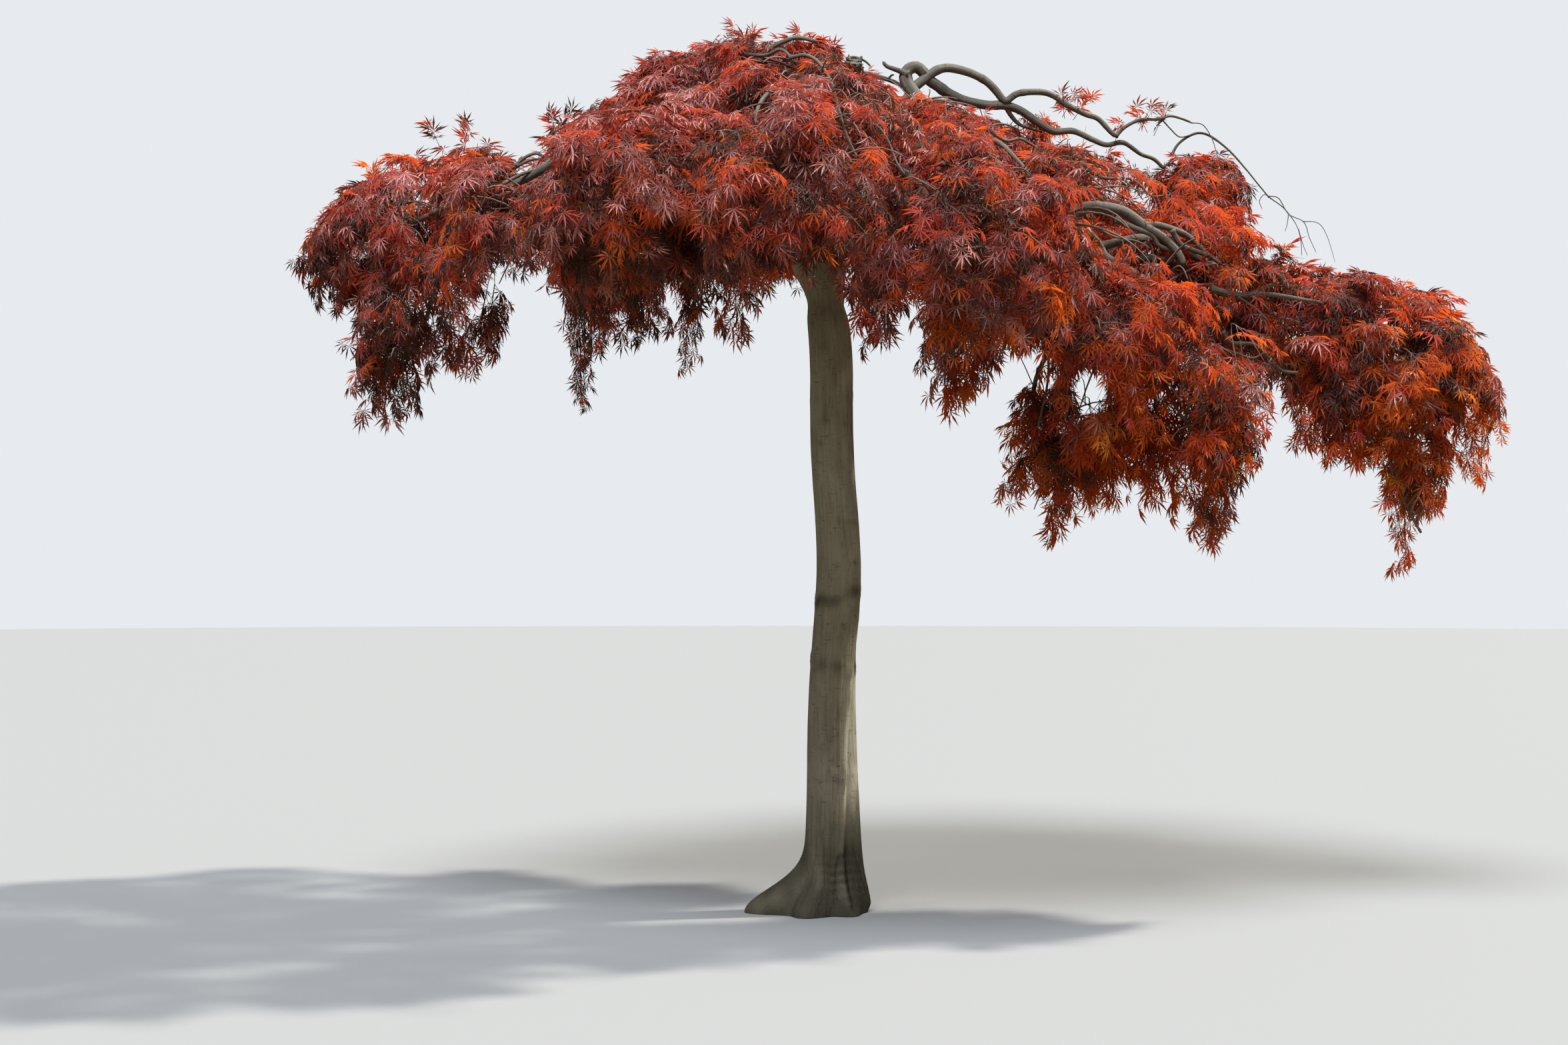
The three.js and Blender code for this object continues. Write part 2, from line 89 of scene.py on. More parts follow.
Limb = namedtuple("Limb", "name parent at azimuth reach height rise droop girth tip mass")
LIMBS = [Limb(*row) for row in [
    ("bough_top", "trunk", 0.95, 190, 320, 3745, 330, -300, 64, 26, (520, 480, 275)),
    ("bough_west", "trunk", 0.965, 187, 930, 3530, 300, 10, 60, 26, (470, 500, 260)),
    ("bough_east", "trunk", 0.965, 343, 520, 3580, 300, -70, 62, 30, (440, 470, 250)),
    ("bough_south", "bough_top", 0.26, 262, 760, 3460, 210, 30, 46, 20, (470, 520, 310)),
    ("bough_north", "bough_top", 0.33, 92, 760, 3530, 240, 30, 46, 20, (470, 530, 270)),
    ("limb_south", "bough_south", 0.55, 264, 1500, 3010, 60, 230, 26, 13, (480, 600, 380)),
    ("limb_southwest", "bough_south", 0.4, 234, 1470, 3000, 100, 230, 26, 13, (500, 550, 400)),
    ("limb_south_southeast", "bough_east", 0.42, 291, 1400, 2800, 200, 300, 27, 13, (470, 520, 520)),
    ("limb_southeast", "bough_east", 0.6, 318, 1330, 2980, 110, 230, 28, 14, (480, 520, 410)),
    ("limb_far_west", "bough_west", 0.66, 184, 2050, 3070, 130, 190, 34, 14, (450, 500, 370)),
    ("limb_west", "limb_far_west", 0.36, 170, 1580, 3170, 50, 130, 22, 12, (480, 480, 380)),
    ("limb_west_front", "bough_west", 0.5, 205, 1520, 2940, 150, 300, 27, 13, (520, 520, 450)),
    ("limb_west_low", "limb_far_west", 0.8, 188, 1970, 2560, 20, 240, 14, 8, (260, 350, 320)),
    ("limb_east_arm", "bough_east", 0.8, 351, 1620, 2770, 60, 210, 38, 20, (460, 480, 400)),
    ("limb_east_upper", "limb_east_arm", 0.2, 358, 1160, 3290, 60, 60, 22, 12, (460, 460, 300)),
    ("limb_east_front", "limb_east_arm", 0.4, 331, 1370, 2500, 20, 330, 22, 12, (430, 460, 440)),
    ("limb_east_low", "limb_east_arm", 0.74, 344, 1760, 2150, 0, 330, 16, 9, (390, 430, 400)),
    ("limb_low_east", "limb_east_front", 0.8, 343, 1120, 2040, 0, 330, 14, 9, (370, 400, 390)),
    ("limb_far_east", "limb_east_arm", 0.9, 2, 2330, 2630, 90, 60, 22, 13, (460, 520, 330)),
    ("limb_far_east_end", "limb_east_arm", 0.82, 359, 2800, 2430, 160, 230, 20, 10, (350, 480, 380)),
    ("limb_far_east_low", "limb_far_east_end", 0.8, 356, 2640, 1960, 0, 400, 13, 8, (270, 300, 410)),
    ("limb_ridge_inner", "bough_top", 0.7, 14, 830, 3757, 420, 150, 32, 19, None),
    ("limb_ridge_middle", "limb_ridge_inner", 0.98, 11, 1360, 3590, 90, 120, 18, 14, None),
    ("limb_ridge_outer", "limb_ridge_middle", 0.97, 10, 2080, 3290, 190, 330, 13, 6, None),
    ("limb_ridge_low", "limb_ridge_inner", 0.42, 13, 1850, 3290, 20, 60, 24, 12, (320, 440, 265)),
    ("limb_northeast_upper", "bough_east", 0.45, 38, 930, 3500, 160, 40, 28, 14, (470, 480, 270)),
    ("limb_northeast", "bough_north", 0.5, 60, 1640, 3160, 120, 150, 26, 13, (500, 530, 350)),
    ("limb_east_north", "limb_northeast_upper", 0.6, 30, 1900, 2980, 80, 230, 24, 12, (500, 510, 380)),
    ("limb_north", "bough_north", 0.6, 97, 1610, 3270, 70, 110, 24, 13, (490, 560, 320)),
    ("limb_northwest", "bough_west", 0.42, 135, 1590, 3150, 180, 170, 28, 13, (500, 560, 360)),
]]
OPEN_MASSES = ("limb_west_low", "limb_far_east_low")
LOOSE_MASSES = {"limb_west_low": 0.6, "limb_far_east_low": 0.6, "limb_low_east": 0.65, "limb_east_low": 0.8}
print("limbs:", len(LIMBS), "of which carry foliage:", sum(row.mass is not None for row in LIMBS))

# %% [markdown]
# Chance has to fall the same way each time, or the tree would be another one at every run. A
# little counter that multiplies and takes a remainder gives numbers that look random and repeat.

# %% A repeatable stream of numbers, and directions by compass
def stream(seed):
    """Numbers from 0 to 1 that look random and are the same each time."""
    state = (seed * 7919 + 104729) % 2147483647
    while True:
        state = (state * 16807) % 2147483647
        yield state / 2147483647


def outward(azimuth):
    """The level direction at an azimuth: 0 is +X, and 90 is +Y, at the back."""
    return np.array([math.cos(math.radians(azimuth)), math.sin(math.radians(azimuth)), 0.0])


UP = np.array([0.0, 0.0, 1.0])


def unit(vectors):
    return vectors / np.maximum(np.linalg.norm(vectors, axis=-1, keepdims=True), 1e-12)


def bezier(controls, share):
    """Points at shares of a curve that is drawn towards its control points."""
    share = np.atleast_1d(share)[:, None]
    layer = [np.asarray(point, float)[None, :] for point in controls]
    while len(layer) > 1:
        layer = [a + (b - a) * share for a, b in zip(layer, layer[1:])]
    return layer[0]


# %% Middle lines of the trunk and of the limbs, in metres
def stem_line(height):
    """Middle of the trunk at heights in millimetres."""
    height = np.atleast_1d(np.asarray(height, float))
    bend = BEND["aside"] * np.exp(-(((height - BEND["height"]) / BEND["spread"]) ** 2))
    rise = np.maximum(0, height - TOP_LEAN["start"]) / (FORK_HEIGHT - TOP_LEAN["start"])
    back = BACK_SWAY["aside"] * np.sin(2 * math.pi * height / BACK_SWAY["wave"])
    return np.stack([bend - TOP_LEAN["aside"] * rise**2, back, height], axis=1) * MM


def limb_end(row):
    """A limb ends at the inner upper side of its foliage."""
    end = outward(row.azimuth) * row.reach + UP * row.height
    if row.mass:
        end = end - outward(row.azimuth) * 0.5 * row.mass[0] + UP * 0.22 * row.mass[2]
    return end * MM


def limb_line(row, start, seed):
    """The arch of a limb, with a slight sway. It gives points for shares from 0 to 1."""
    draw = stream(seed)
    end = limb_end(row)
    run = (end - start) * [1, 1, 0]
    controls = [
        start,
        start + LEAD_IN * run + UP * row.rise * MM,
        end - LEAD_IN * run + UP * row.droop * MM,
        end,
    ]
    length = np.linalg.norm(np.diff(bezier(controls, np.linspace(0, 1, 201)), axis=0), axis=1).sum()
    aside = unit(np.array([-run[1], run[0], 0.0]))
    waves = [1.5 + next(draw), 1.5 + next(draw)]
    phases = [next(draw) * 6, next(draw) * 6]

    def line(share):
        share = np.atleast_1d(share)
        sway = (SWAY * length * np.sin(math.pi * share))[:, None]
        sideways = np.sin(2 * math.pi * waves[0] * share + phases[0])[:, None]
        upward = np.sin(2 * math.pi * waves[1] * share + phases[1])[:, None]
        return bezier(controls, share) + sway * (aside * sideways + 0.6 * UP * upward)

    return line, length


lines = {"trunk": (lambda share: stem_line(FORK_HEIGHT * np.atleast_1d(share)), FORK_HEIGHT * MM)}
for index, row in enumerate(LIMBS):
    lines[row.name] = limb_line(row, lines[row.parent][0](row.at)[0], index + 1)
print("metres of limb:", round(sum(length for _, length in lines.values()), 1))

# %% [markdown]
# ## Bark
# The bark of this maple is thin and smooth: grey brown, with fine pale streaks along the stem,
# short dark dashes across it, and large soft patches where it has weathered. The trunk, the limbs
# and the twigs all have it, so it is one node group that each material sets in its own way.
# One number darkens scars and knots and paints shade on the foot; below zero it paints sunlight.
# Streaks have to run along a limb wherever it goes. So the mesh carries a coordinate of its
# own, as if the limb had been straightened: two numbers round it and one along it.

# %% Small helpers for shader nodes
def add_node(tree, kind, inputs=None, **settings):
    """A node of that kind, with its settings and the values of its inputs."""
    made = tree.nodes.new(kind)
    for name, value in settings.items():
        setattr(made, name, value)
    for name, value in (inputs or {}).items():
        made.inputs[name].default_value = value
    return made


def ramp(tree, factor, stops):
    """A ramp from (position, grey) stops."""
    made = add_node(tree, "ShaderNodeValToRGB")
    elements = made.color_ramp.elements
    while len(elements) < len(stops):
        elements.new(0.5)
    for element, (position, grey) in zip(elements, stops):
        element.position = position
        element.color = (grey, grey, grey, 1)
    tree.links.new(factor, made.inputs["Fac"])
    return made.outputs["Color"]


def mix(tree, factor, first, second):
    """Two colours mixed by a factor. Each may be a socket or a plain value."""
    made = add_node(tree, "ShaderNodeMix", data_type="RGBA")
    for socket, value in ((made.inputs[0], factor), (made.inputs[6], first), (made.inputs[7], second)):
        if isinstance(value, bpy.types.NodeSocket):
            tree.links.new(value, socket)
        else:
            socket.default_value = value if isinstance(value, (int, float)) else (*value, 1)
    return made.outputs[2]


def noise_at(tree, vector, scale, detail=4, roughness=0.55, stretch=(1, 1, 1)):
    """Noise that is drawn out along an axis by a small number in stretch."""
    mapping = add_node(tree, "ShaderNodeMapping", {"Scale": stretch})
    tree.links.new(vector, mapping.inputs["Vector"])
    made = add_node(tree, "ShaderNodeTexNoise", {"Scale": scale, "Detail": detail, "Roughness": roughness})
    tree.links.new(mapping.outputs["Vector"], made.inputs["Vector"])
    return made.outputs["Fac"]


# %% The bark group: streaks along, dashes across, patches and a height
def bark_group():
    tree = bpy.data.node_groups.new("Maple bark", "ShaderNodeTree")
    for name, kind, value in (
        ("Along Bark", "Vector", (0, 0, 0)),
        ("Ground Colour", "Color", (0.15, 0.12, 0.1, 1)),
        ("Pale Colour", "Color", (0.34, 0.3, 0.26, 1)),
        ("Dark Colour", "Color", (0.05, 0.04, 0.032, 1)),
        ("Painted Sunlight Colour", "Color", (0.43, 0.405, 0.33, 1)),
        ("Streaks", "Float", 0.6),
        ("Dashes", "Float", 0.5),
        ("Stain And Painted Light", "Float", 0.0),
    ):
        socket = tree.interface.new_socket(name, in_out="INPUT", socket_type="NodeSocket" + kind)
        socket.default_value = value
    for name, kind in (("Color", "Color"), ("Roughness", "Float"), ("Height", "Float")):
        tree.interface.new_socket(name, in_out="OUTPUT", socket_type="NodeSocket" + kind)
    start = add_node(tree, "NodeGroupInput")
    end = add_node(tree, "NodeGroupOutput")
    along = start.outputs["Along Bark"]

    def scaled(a, b):
        made = add_node(tree, "ShaderNodeMath", operation="MULTIPLY", use_clamp=True)
        for socket, value in zip(made.inputs, (a, b)):
            if isinstance(value, bpy.types.NodeSocket):
                tree.links.new(value, socket)
            else:
                socket.default_value = value
        return made.outputs[0]

    streak = ramp(tree, noise_at(tree, along, 70, 6, 0.6, (1, 1, 0.07)), [(0.38, 0), (0.66, 1)])
    patch = ramp(tree, noise_at(tree, along, 5.5, 4, 0.6, (1, 1, 0.6)), [(0.3, 0), (0.7, 1)])
    dash = ramp(tree, noise_at(tree, along, 55, 3, 0.5, (0.45, 0.45, 2.4)), [(0.62, 0), (0.7, 1)])
    crack = ramp(tree, noise_at(tree, along, 130, 5, 0.65, (1, 1, 0.16)), [(0.3, 1), (0.42, 0)])

    colour = mix(tree, scaled(patch, 0.6), start.outputs["Ground Colour"], start.outputs["Pale Colour"])
    colour = mix(tree, scaled(streak, start.outputs["Streaks"]), colour, start.outputs["Pale Colour"])
    # Painted sunlight: below zero the number mixes in a pale colour where the sun falls on the trunk.
    colour = mix(tree, scaled(start.outputs["Stain And Painted Light"], -1.0), colour, start.outputs["Painted Sunlight Colour"])
    colour = mix(tree, scaled(dash, start.outputs["Dashes"]), colour, start.outputs["Dark Colour"])
    colour = mix(tree, scaled(crack, 0.55), colour, start.outputs["Dark Colour"])
    # Above zero the number darkens scars and knots, the bark's own marks, and paints shade on the foot of the
    # trunk.
    colour = mix(tree, start.outputs["Stain And Painted Light"], colour, start.outputs["Dark Colour"])
    tree.links.new(colour, end.inputs["Color"])
    tree.links.new(mix(tree, patch, (0.8,) * 3, (0.62,) * 3), end.inputs["Roughness"])
    height = mix(tree, scaled(crack, 0.6), streak, (0.0,) * 3)
    tree.links.new(mix(tree, scaled(dash, 0.5), height, (1.0,) * 3), end.inputs["Height"])
    return tree


BARK_GROUP = bark_group()


def bark_material(name, ground, pale, dark, streaks, dashes, depth):
    """Bark in three colours, with the depth of its fine relief in metres."""
    material = bpy.data.materials.new(name)
    material.use_nodes = True
    tree = material.node_tree
    shader = tree.nodes["Principled BSDF"]
    grain = add_node(tree, "ShaderNodeAttribute", attribute_name="grain")
    stain_and_painted_light = add_node(tree, "ShaderNodeAttribute", attribute_name="stain_and_painted_light")
    group = add_node(tree, "ShaderNodeGroup", node_tree=BARK_GROUP)
    for socket, value in (("Ground Colour", ground), ("Pale Colour", pale), ("Dark Colour", dark)):
        group.inputs[socket].default_value = (*value, 1)
    group.inputs["Streaks"].default_value = streaks
    group.inputs["Dashes"].default_value = dashes
    shader.inputs["Specular IOR Level"].default_value = 0.25
    bump = add_node(tree, "ShaderNodeBump", {"Strength": 0.7, "Distance": depth})
    tree.links.new(grain.outputs["Vector"], group.inputs["Along Bark"])
    tree.links.new(stain_and_painted_light.outputs["Fac"], group.inputs["Stain And Painted Light"])
    tree.links.new(group.outputs["Color"], shader.inputs["Base Color"])
    tree.links.new(group.outputs["Roughness"], shader.inputs["Roughness"])
    tree.links.new(group.outputs["Height"], bump.inputs["Height"])
    tree.links.new(bump.outputs["Normal"], shader.inputs["Normal"])
    return material


TRUNK_BARK = bark_material(
    "trunk_bark", (0.11, 0.093, 0.065), (0.295, 0.27, 0.21), (0.031, 0.028, 0.017), 0.45, 0.5, 0.004)
LIMB_BARK = bark_material(
    "limb_bark", (0.05, 0.045, 0.037), (0.16, 0.148, 0.12), (0.02, 0.016, 0.012), 0.5, 0.6, 0.003)
TWIG_BARK = bark_material(
    "twig_bark", (0.1, 0.062, 0.05), (0.2, 0.155, 0.13), (0.045, 0.028, 0.024), 0.4, 0.3, 0.001)
print("bark materials:", TRUNK_BARK.name, LIMB_BARK.name, TWIG_BARK.name)

# %% [markdown]
# ## A tube along a line
# A limb could be a curve with a bevel, but then its surface could not swell at a knot or a fork.
# Here it is a cone shape that is cut into rings, and each ring is set square to the line.
# A function gives the radius at each place, so a root, a waist or a scar is only arithmetic.

# %% Rings set along a middle line
def frames_along(points):
    """Directions along a line and two square to it, carried on without twist."""
    along = unit(np.gradient(points, axis=0))
    side = np.empty_like(along)
    last = np.array([1.0, 0, 0]) if abs(along[0, 2]) > 0.8 else UP
    for i, way in enumerate(along):
        last = unit(last - way * last.dot(way))
        side[i] = last
    return along, side, np.cross(along, side)


def sweep(bm, points, radius_at, sides, grain_start=0.0, level=False):
    """Adds a tube to a bmesh. radius_at takes shares along and turns round, in degrees."""
    rings = len(points) - 1
    tube = bmesh.new()
    layer = tube.verts.layers.float_vector.new("grain")
    bmesh.ops.create_cone(
        tube, cap_ends=True, cap_tris=False, segments=sides, radius1=1, radius2=1, depth=rings)
    upright = [edge for edge in tube.edges if abs(edge.verts[0].co.z - edge.verts[1].co.z) > 0.5]
    bmesh.ops.subdivide_edges(tube, edges=upright, cuts=rings - 1, use_grid_fill=True)

    local = np.array([v.co for v in tube.verts])
    ring = np.clip(np.rint(local[:, 2] + rings / 2).astype(int), 0, rings)
    turn = np.degrees(np.arctan2(local[:, 1], local[:, 0])) % 360
    along, side, cross = frames_along(points)
    if level:
        side[:], cross[:] = outward(0), outward(90)
    steps = np.concatenate([[0], np.cumsum(np.linalg.norm(np.diff(points, axis=0), axis=1))])
    radius = radius_at(ring / rings, turn)
    cos, sin = np.cos(np.radians(turn)), np.sin(np.radians(turn))
    place = points[ring] + side[ring] * (cos * radius)[:, None] + cross[ring] * (sin * radius)[:, None]
    mean = np.bincount(ring, radius)[ring] / np.bincount(ring)[ring]
    grain = np.stack([cos * mean, sin * mean, steps[ring] + grain_start], axis=1)
    for vert, co, bark in zip(tube.verts, place, grain):
        vert.co = co
        vert[layer] = bark
    join_bmesh(bm, tube)


# %% Join a form to a bmesh, and turn a bmesh into a piece
def join_bmesh(bm, form):
    """Moves a bmesh into another one."""
    mesh = bpy.data.meshes.new("form")
    form.to_mesh(mesh)
    form.free()
    bm.from_mesh(mesh)
    bpy.data.meshes.remove(mesh)


def add_object(name, data):
    """A new object in the scene, for a mesh, a light or a camera."""
    made = bpy.data.objects.new(name, data)
    bpy.context.scene.collection.objects.link(made)
    return made


def finish_piece(bm, name, material, replaced=()):
    """Turns a bmesh into a smooth shaded piece that rides on the tree's one body."""
    mesh = bpy.data.meshes.new(name)
    bm.to_mesh(mesh)
    bm.free()
    mesh.shade_smooth()
    mesh.materials.append(material)
    piece = add_object(name, mesh)
    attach(piece, "root")
    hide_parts(*replaced)
    mesh.calc_loop_triangles()
    print(f"{name}: {len(mesh.loop_triangles)} triangles")
    return piece


def rough(points, scale, seed):
    """Smooth noise from -1 to 1 at each point."""
    offset = Vector((seed * 7.31, seed * 3.17, seed * 5.71))
    return np.array([noise.noise(Vector(p) * scale + offset) for p in points])


# %% [markdown]
# ## The trunk
# The trunk is nearly a pole. It bends a little to the right at chest height and leans to the left
# under the fork. Its foot spreads into roots, and the one to the left reaches furthest. On the
# right a ridge of wood runs up from a root, with a groove in front of it, and narrow cracks run up
# between the roots. Two old scars ring the trunk at waist and chest height, and a few knots mark
# where twigs were rubbed off. Sculpting would show all this, but couldn't be repeated. Here each
# form is a small function of the height and of the way round, and is added to the radius.

# %% Model the trunk
TRUNK_SIDES = 144
TRUNK_RINGS = 260
RING_CROWDING = 1.25  # over 1, the rings stand closer together near the ground
DEGREE = 1.9  # millimetres round the trunk in a degree
Scar = namedtuple("Scar", "height relief spread rise")
SCARS = [Scar(*row) for row in [
    (1427, 7, 26, 26), (1109, 6, 24, -26), (1767, 3, 11, -12), (2330, 2, 14, 14), (610, 2, 11, 6)]]
Knot = namedtuple("Knot", "azimuth height relief spread")
KNOTS = [Knot(*row) for row in [
    (-72, 1296, 7, 26), (-140, 1190, 4, 20), (-50, 1580, 6, 24), (-120, 2120, 7, 26),
    (60, 1900, 8, 30), (130, 1420, 6, 28), (-95, 640, 4, 22), (150, 860, 5, 26)]]
RIDGE = {"azimuth": -10, "height": 1050, "swell": 16, "spread": 15}
GROOVE = {"azimuth": -68, "turn": 38, "height": 1100, "depth": 26, "edge": 14, "spread": 15}
CREASES = {"azimuth": -65, "spread": 42, "height": 170, "tall": 90, "step": 6, "depth": 2.6}
CRACKS = {"round": 2.4, "width": 0.05, "tall": 260, "depth": 9}
FOOT_LUMPS = {"relief": 9, "tall": 240}
SOFT_LUMPS = [(3.2, 1.4, 420, 3), (1.6, 5, 300, 5), (0.9, 13, 110, 8)]  # relief, round, tall, seed


def degrees_off(turn, azimuth):
    """Degrees from an azimuth to a turn, from -180 to 180."""
    return (turn - azimuth + 540) % 360 - 180


def facing(turn, azimuth, spread):
    """1 where the trunk faces an azimuth, falling off to both sides."""
    return np.exp(-((degrees_off(turn, azimuth) / spread) ** 2))


def stem_radius(turn, height):
    """Radius of the plain trunk in millimetres, as the solid has it."""
    radius = STEM_RADIUS + BUTT["swell"] * np.exp(-height / BUTT["height"])
    radius = radius - NECK["waist"] * np.exp(-(((height - NECK["height"]) / NECK["spread"]) ** 2))
    top = np.maximum(0, height - FORK_SWELL["start"]) / (FORK_HEIGHT - FORK_SWELL["start"])
    radius = radius + FORK_SWELL["swell"] * top
    for azimuth, reach, tall in ROOTS:
        radius = radius + reach * facing(turn, azimuth, ROOT_SPREAD) * np.exp(-((height / tall) ** 2))
    return radius


# %% The scars, the knots, the groove and the cracks of the trunk
def round_trunk(turn, level):
    """Places on a cylinder of radius 1, where noise meets itself again after a full turn."""
    angle = np.radians(turn)
    return np.stack([np.cos(angle), np.sin(angle), level], axis=1)


def over_scar(turn, height, scar):
    """Millimetres above a scar, which winds a little and rises or falls from left to right."""
    winding = 26 * rough(round_trunk(turn, np.full_like(turn, scar.height / 100)) * 1.7, 1, 11)
    return height - (scar.height + scar.rise * np.cos(np.radians(turn)) + winding)


def knot_reach(turn, height, knot):
    """How far out a place is on a knot: 0 at its middle and 1 at its edge."""
    return np.hypot(degrees_off(turn, knot.azimuth) * DEGREE, height - knot.height) / knot.spread


def past_groove(turn, height):
    """Degrees to the right of the groove's left edge, which winds round the trunk."""
    return degrees_off(turn, GROOVE["azimuth"] + GROOVE["turn"] * (height / GROOVE["height"]) ** 2)


def groove_at(turn, height):
    """The groove falls off steeply at its left edge and rises slowly."""
    off = past_groove(turn, height)
    steep = np.clip(off / GROOVE["edge"], 0, 1)
    slow = np.exp(-((np.maximum(off - GROOVE["edge"], 0) / GROOVE["spread"]) ** 2))
    return steep * slow * np.clip(3.6 - 3 * height / GROOVE["height"], 0, 1)


def foot_crack(turn, height):
    """1 in the narrow cracks that run up between the roots, fading out with the height."""
    off = rough(round_trunk(turn, height / 1500) * CRACKS["round"], 1, 29) / CRACKS["width"]
    return np.exp(-(off**2)) * np.exp(-((height / CRACKS["tall"]) ** 2))


def bark_relief(turn, height):
    """What the bark adds to the radius, in millimetres."""
    around = round_trunk(turn, np.zeros_like(turn))
    level = height[:, None] * UP
    relief = sum(size * rough(around * many + level / tall, 1, seed) for size, many, tall, seed in SOFT_LUMPS)
    for scar in SCARS:
        off = over_scar(turn, height, scar) / scar.spread
        ring = np.exp(-(off**2)) - 0.55 * np.exp(-((off * 2.6) ** 2))
        relief += scar.relief * ring * np.clip(0.6 + 1.3 * rough(around * 2, 1, scar.height), 0.1, 1.1)
    for knot in KNOTS:
        reach = knot_reach(turn, height, knot)
        relief += knot.relief * (np.exp(-(reach**2)) - 0.9 * np.exp(-((reach * 2.4) ** 2)))
    fade = np.clip(1.25 - height / RIDGE["height"], 0, 1)
    relief += RIDGE["swell"] * facing(turn, RIDGE["azimuth"], RIDGE["spread"]) * fade
    relief -= GROOVE["depth"] * groove_at(turn, height)
    wave = np.sin(height / CREASES["step"] + 2.5 * rough(around * 3, 1, 17))
    wave = wave * np.exp(-((height - CREASES["height"]) / CREASES["tall"]) ** 2)
    relief += CREASES["depth"] * wave * facing(turn, CREASES["azimuth"], CREASES["spread"])
    lumps = rough(around * 3.4 + level / 260, 1, 19) * np.exp(-((height / FOOT_LUMPS["tall"]) ** 2))
    return relief + FOOT_LUMPS["relief"] * lumps - CRACKS["depth"] * foot_crack(turn, height)


# %% Sweep the trunk
bm = bmesh.new()
heights = FORK_HEIGHT * np.linspace(0, 1, TRUNK_RINGS + 1) ** RING_CROWDING


def trunk_radius(share, turn):
    height = FORK_HEIGHT * share**RING_CROWDING
    keep = np.clip(height / 40, 0, 1) * np.clip((FORK_HEIGHT - height) / 60, 0.2, 1)
    return (stem_radius(turn, height) + keep * bark_relief(turn, height)) * MM


sweep(bm, stem_line(heights), trunk_radius, TRUNK_SIDES, level=True)
trunk_bark = finish_piece(bm, "trunk_bark", TRUNK_BARK, ["trunk"])

# %% Darken the scars and the knots, paint shade on the foot, and paint sunlight on the ridge's flank and a patch
PAINTED_SUN_STRIPE = {"wide": 60, "soft": 22, "from": 380, "to": 1110}
PAINTED_LIGHT_PATCH = {"azimuth": -27, "turn": 13, "height": 1965, "tall": 75}
FOOT_PAINTED_SHADE = {"dark": 1.08, "tall": 500}
points = np.array([v.co for v in trunk_bark.data.vertices])
middle = np.interp(points[:, 2], heights * MM, stem_line(heights)[:, 0])
turn = np.degrees(np.arctan2(points[:, 1], points[:, 0] - middle))
height = points[:, 2] / MM

stain_and_painted_light = np.zeros(len(points))
for scar in SCARS:
    off = over_scar(turn, height, scar) / (1.3 * scar.spread)
    broken = np.clip(0.75 + 1.3 * rough(points * [9, 9, 14], 1, 22), 0, 1)
    stain_and_painted_light += 0.1 * scar.relief * np.exp(-(off**2)) * broken
for knot in KNOTS:
    stain_and_painted_light += 0.9 * np.exp(-((knot_reach(turn, height, knot) * 2.2) ** 2))
stain_and_painted_light = stain_and_painted_light * (0.85 + 0.9 * rough(points * [14, 14, 5], 1, 23))

# Painted shade: the foot is darkened where the crown shades it, a little more in the groove and in the cracks
# between the roots.
foot = FOOT_PAINTED_SHADE["dark"] * np.exp(-((height / FOOT_PAINTED_SHADE["tall"]) ** 2))
foot += 0.15 * groove_at(turn, height) * (height < 400)
stain_and_painted_light += foot * (0.95 + 0.4 * rough(points * [14, 14, 5], 1, 27)) + 0.5 * foot_crack(turn, height)

# Painted sunlight: a pale stripe on the flank to the right of the groove, low on the trunk, where the sun
# falls.
off = past_groove(turn, height) + 14 * rough(points * [5, 5, 9], 1, 24)
painted_sun = np.clip(off / 5, 0, 1) * np.clip((PAINTED_SUN_STRIPE["wide"] - off) / PAINTED_SUN_STRIPE["soft"], 0, 1)
painted_sun *= np.clip((PAINTED_SUN_STRIPE["to"] - height) / 60, 0, 1)
painted_sun *= np.clip((height - PAINTED_SUN_STRIPE["from"]) / 170, 0, 1)
stain_and_painted_light -= painted_sun * (0.9 + 0.6 * rough(points * [30, 30, 4], 1, 25))

# Painted light: a pale patch high on the right of the trunk, where sun comes through the crown.
off = np.hypot(
    (turn - PAINTED_LIGHT_PATCH["azimuth"]) / PAINTED_LIGHT_PATCH["turn"], (height - PAINTED_LIGHT_PATCH["height"]) / PAINTED_LIGHT_PATCH["tall"])
blotchy = np.clip(0.6 + 1.5 * rough(points * [25, 25, 9], 1, 26), 0, 1)
stain_and_painted_light -= 1.3 * np.exp(-(off**2)) * blotchy
trunk_bark.data.attributes.new("stain_and_painted_light", "FLOAT", "POINT").data.foreach_set("value", stain_and_painted_light.clip(-1, 1))
print("stained share of the trunk:", round(float((stain_and_painted_light > 0.2).mean()), 2))

# %% [markdown]
# ## Boughs and limbs
# A limb is thickest where it leaves its parent. It has a collar there, and a small ring at each
# place where a twig once grew. The line itself bends a little here and there, which is what makes
# an old weeping maple look gnarled. The five boughs come first, because the others grow from them.

# %% The girth of a limb, and the bends of its line
RING_STEP = 0.016
LIMB_KINK = 0.012
RIDGE_KINK = 0.024


def girth_at(row, share):
    """Radius of a limb at shares of its length, in metres."""
    return (row.girth + (row.tip - row.girth) * share**0.8) * MM


def parent_girth(row):
    """Girth of the parent where a limb leaves it."""
    if row.parent == "trunk":
        return STEM_RADIUS * MM
    return girth_at(next(other for other in LIMBS if other.name == row.parent), row.at)


def kinked(points, share, size, seed):
    """A line with small bends that fade out at both ends."""
    hold = np.sin(math.pi * np.clip(share, 0, 1)) ** 0.6
    bend = np.stack([rough(points, 5.0, seed + axis) for axis in (0, 40, 80)], axis=1)
    return points + size * bend * hold[:, None]


def limb_points(row, count, seed):
    share = np.linspace(0, 1, count)
    size = RIDGE_KINK if "ridge" in row.name else LIMB_KINK
    return kinked(lines[row.name][0](share), share, size, seed)


# %% The surface of a limb
RING_WIDTH = 0.011
RING_SPACING = (0.1, 0.22)  # the least, and what chance adds


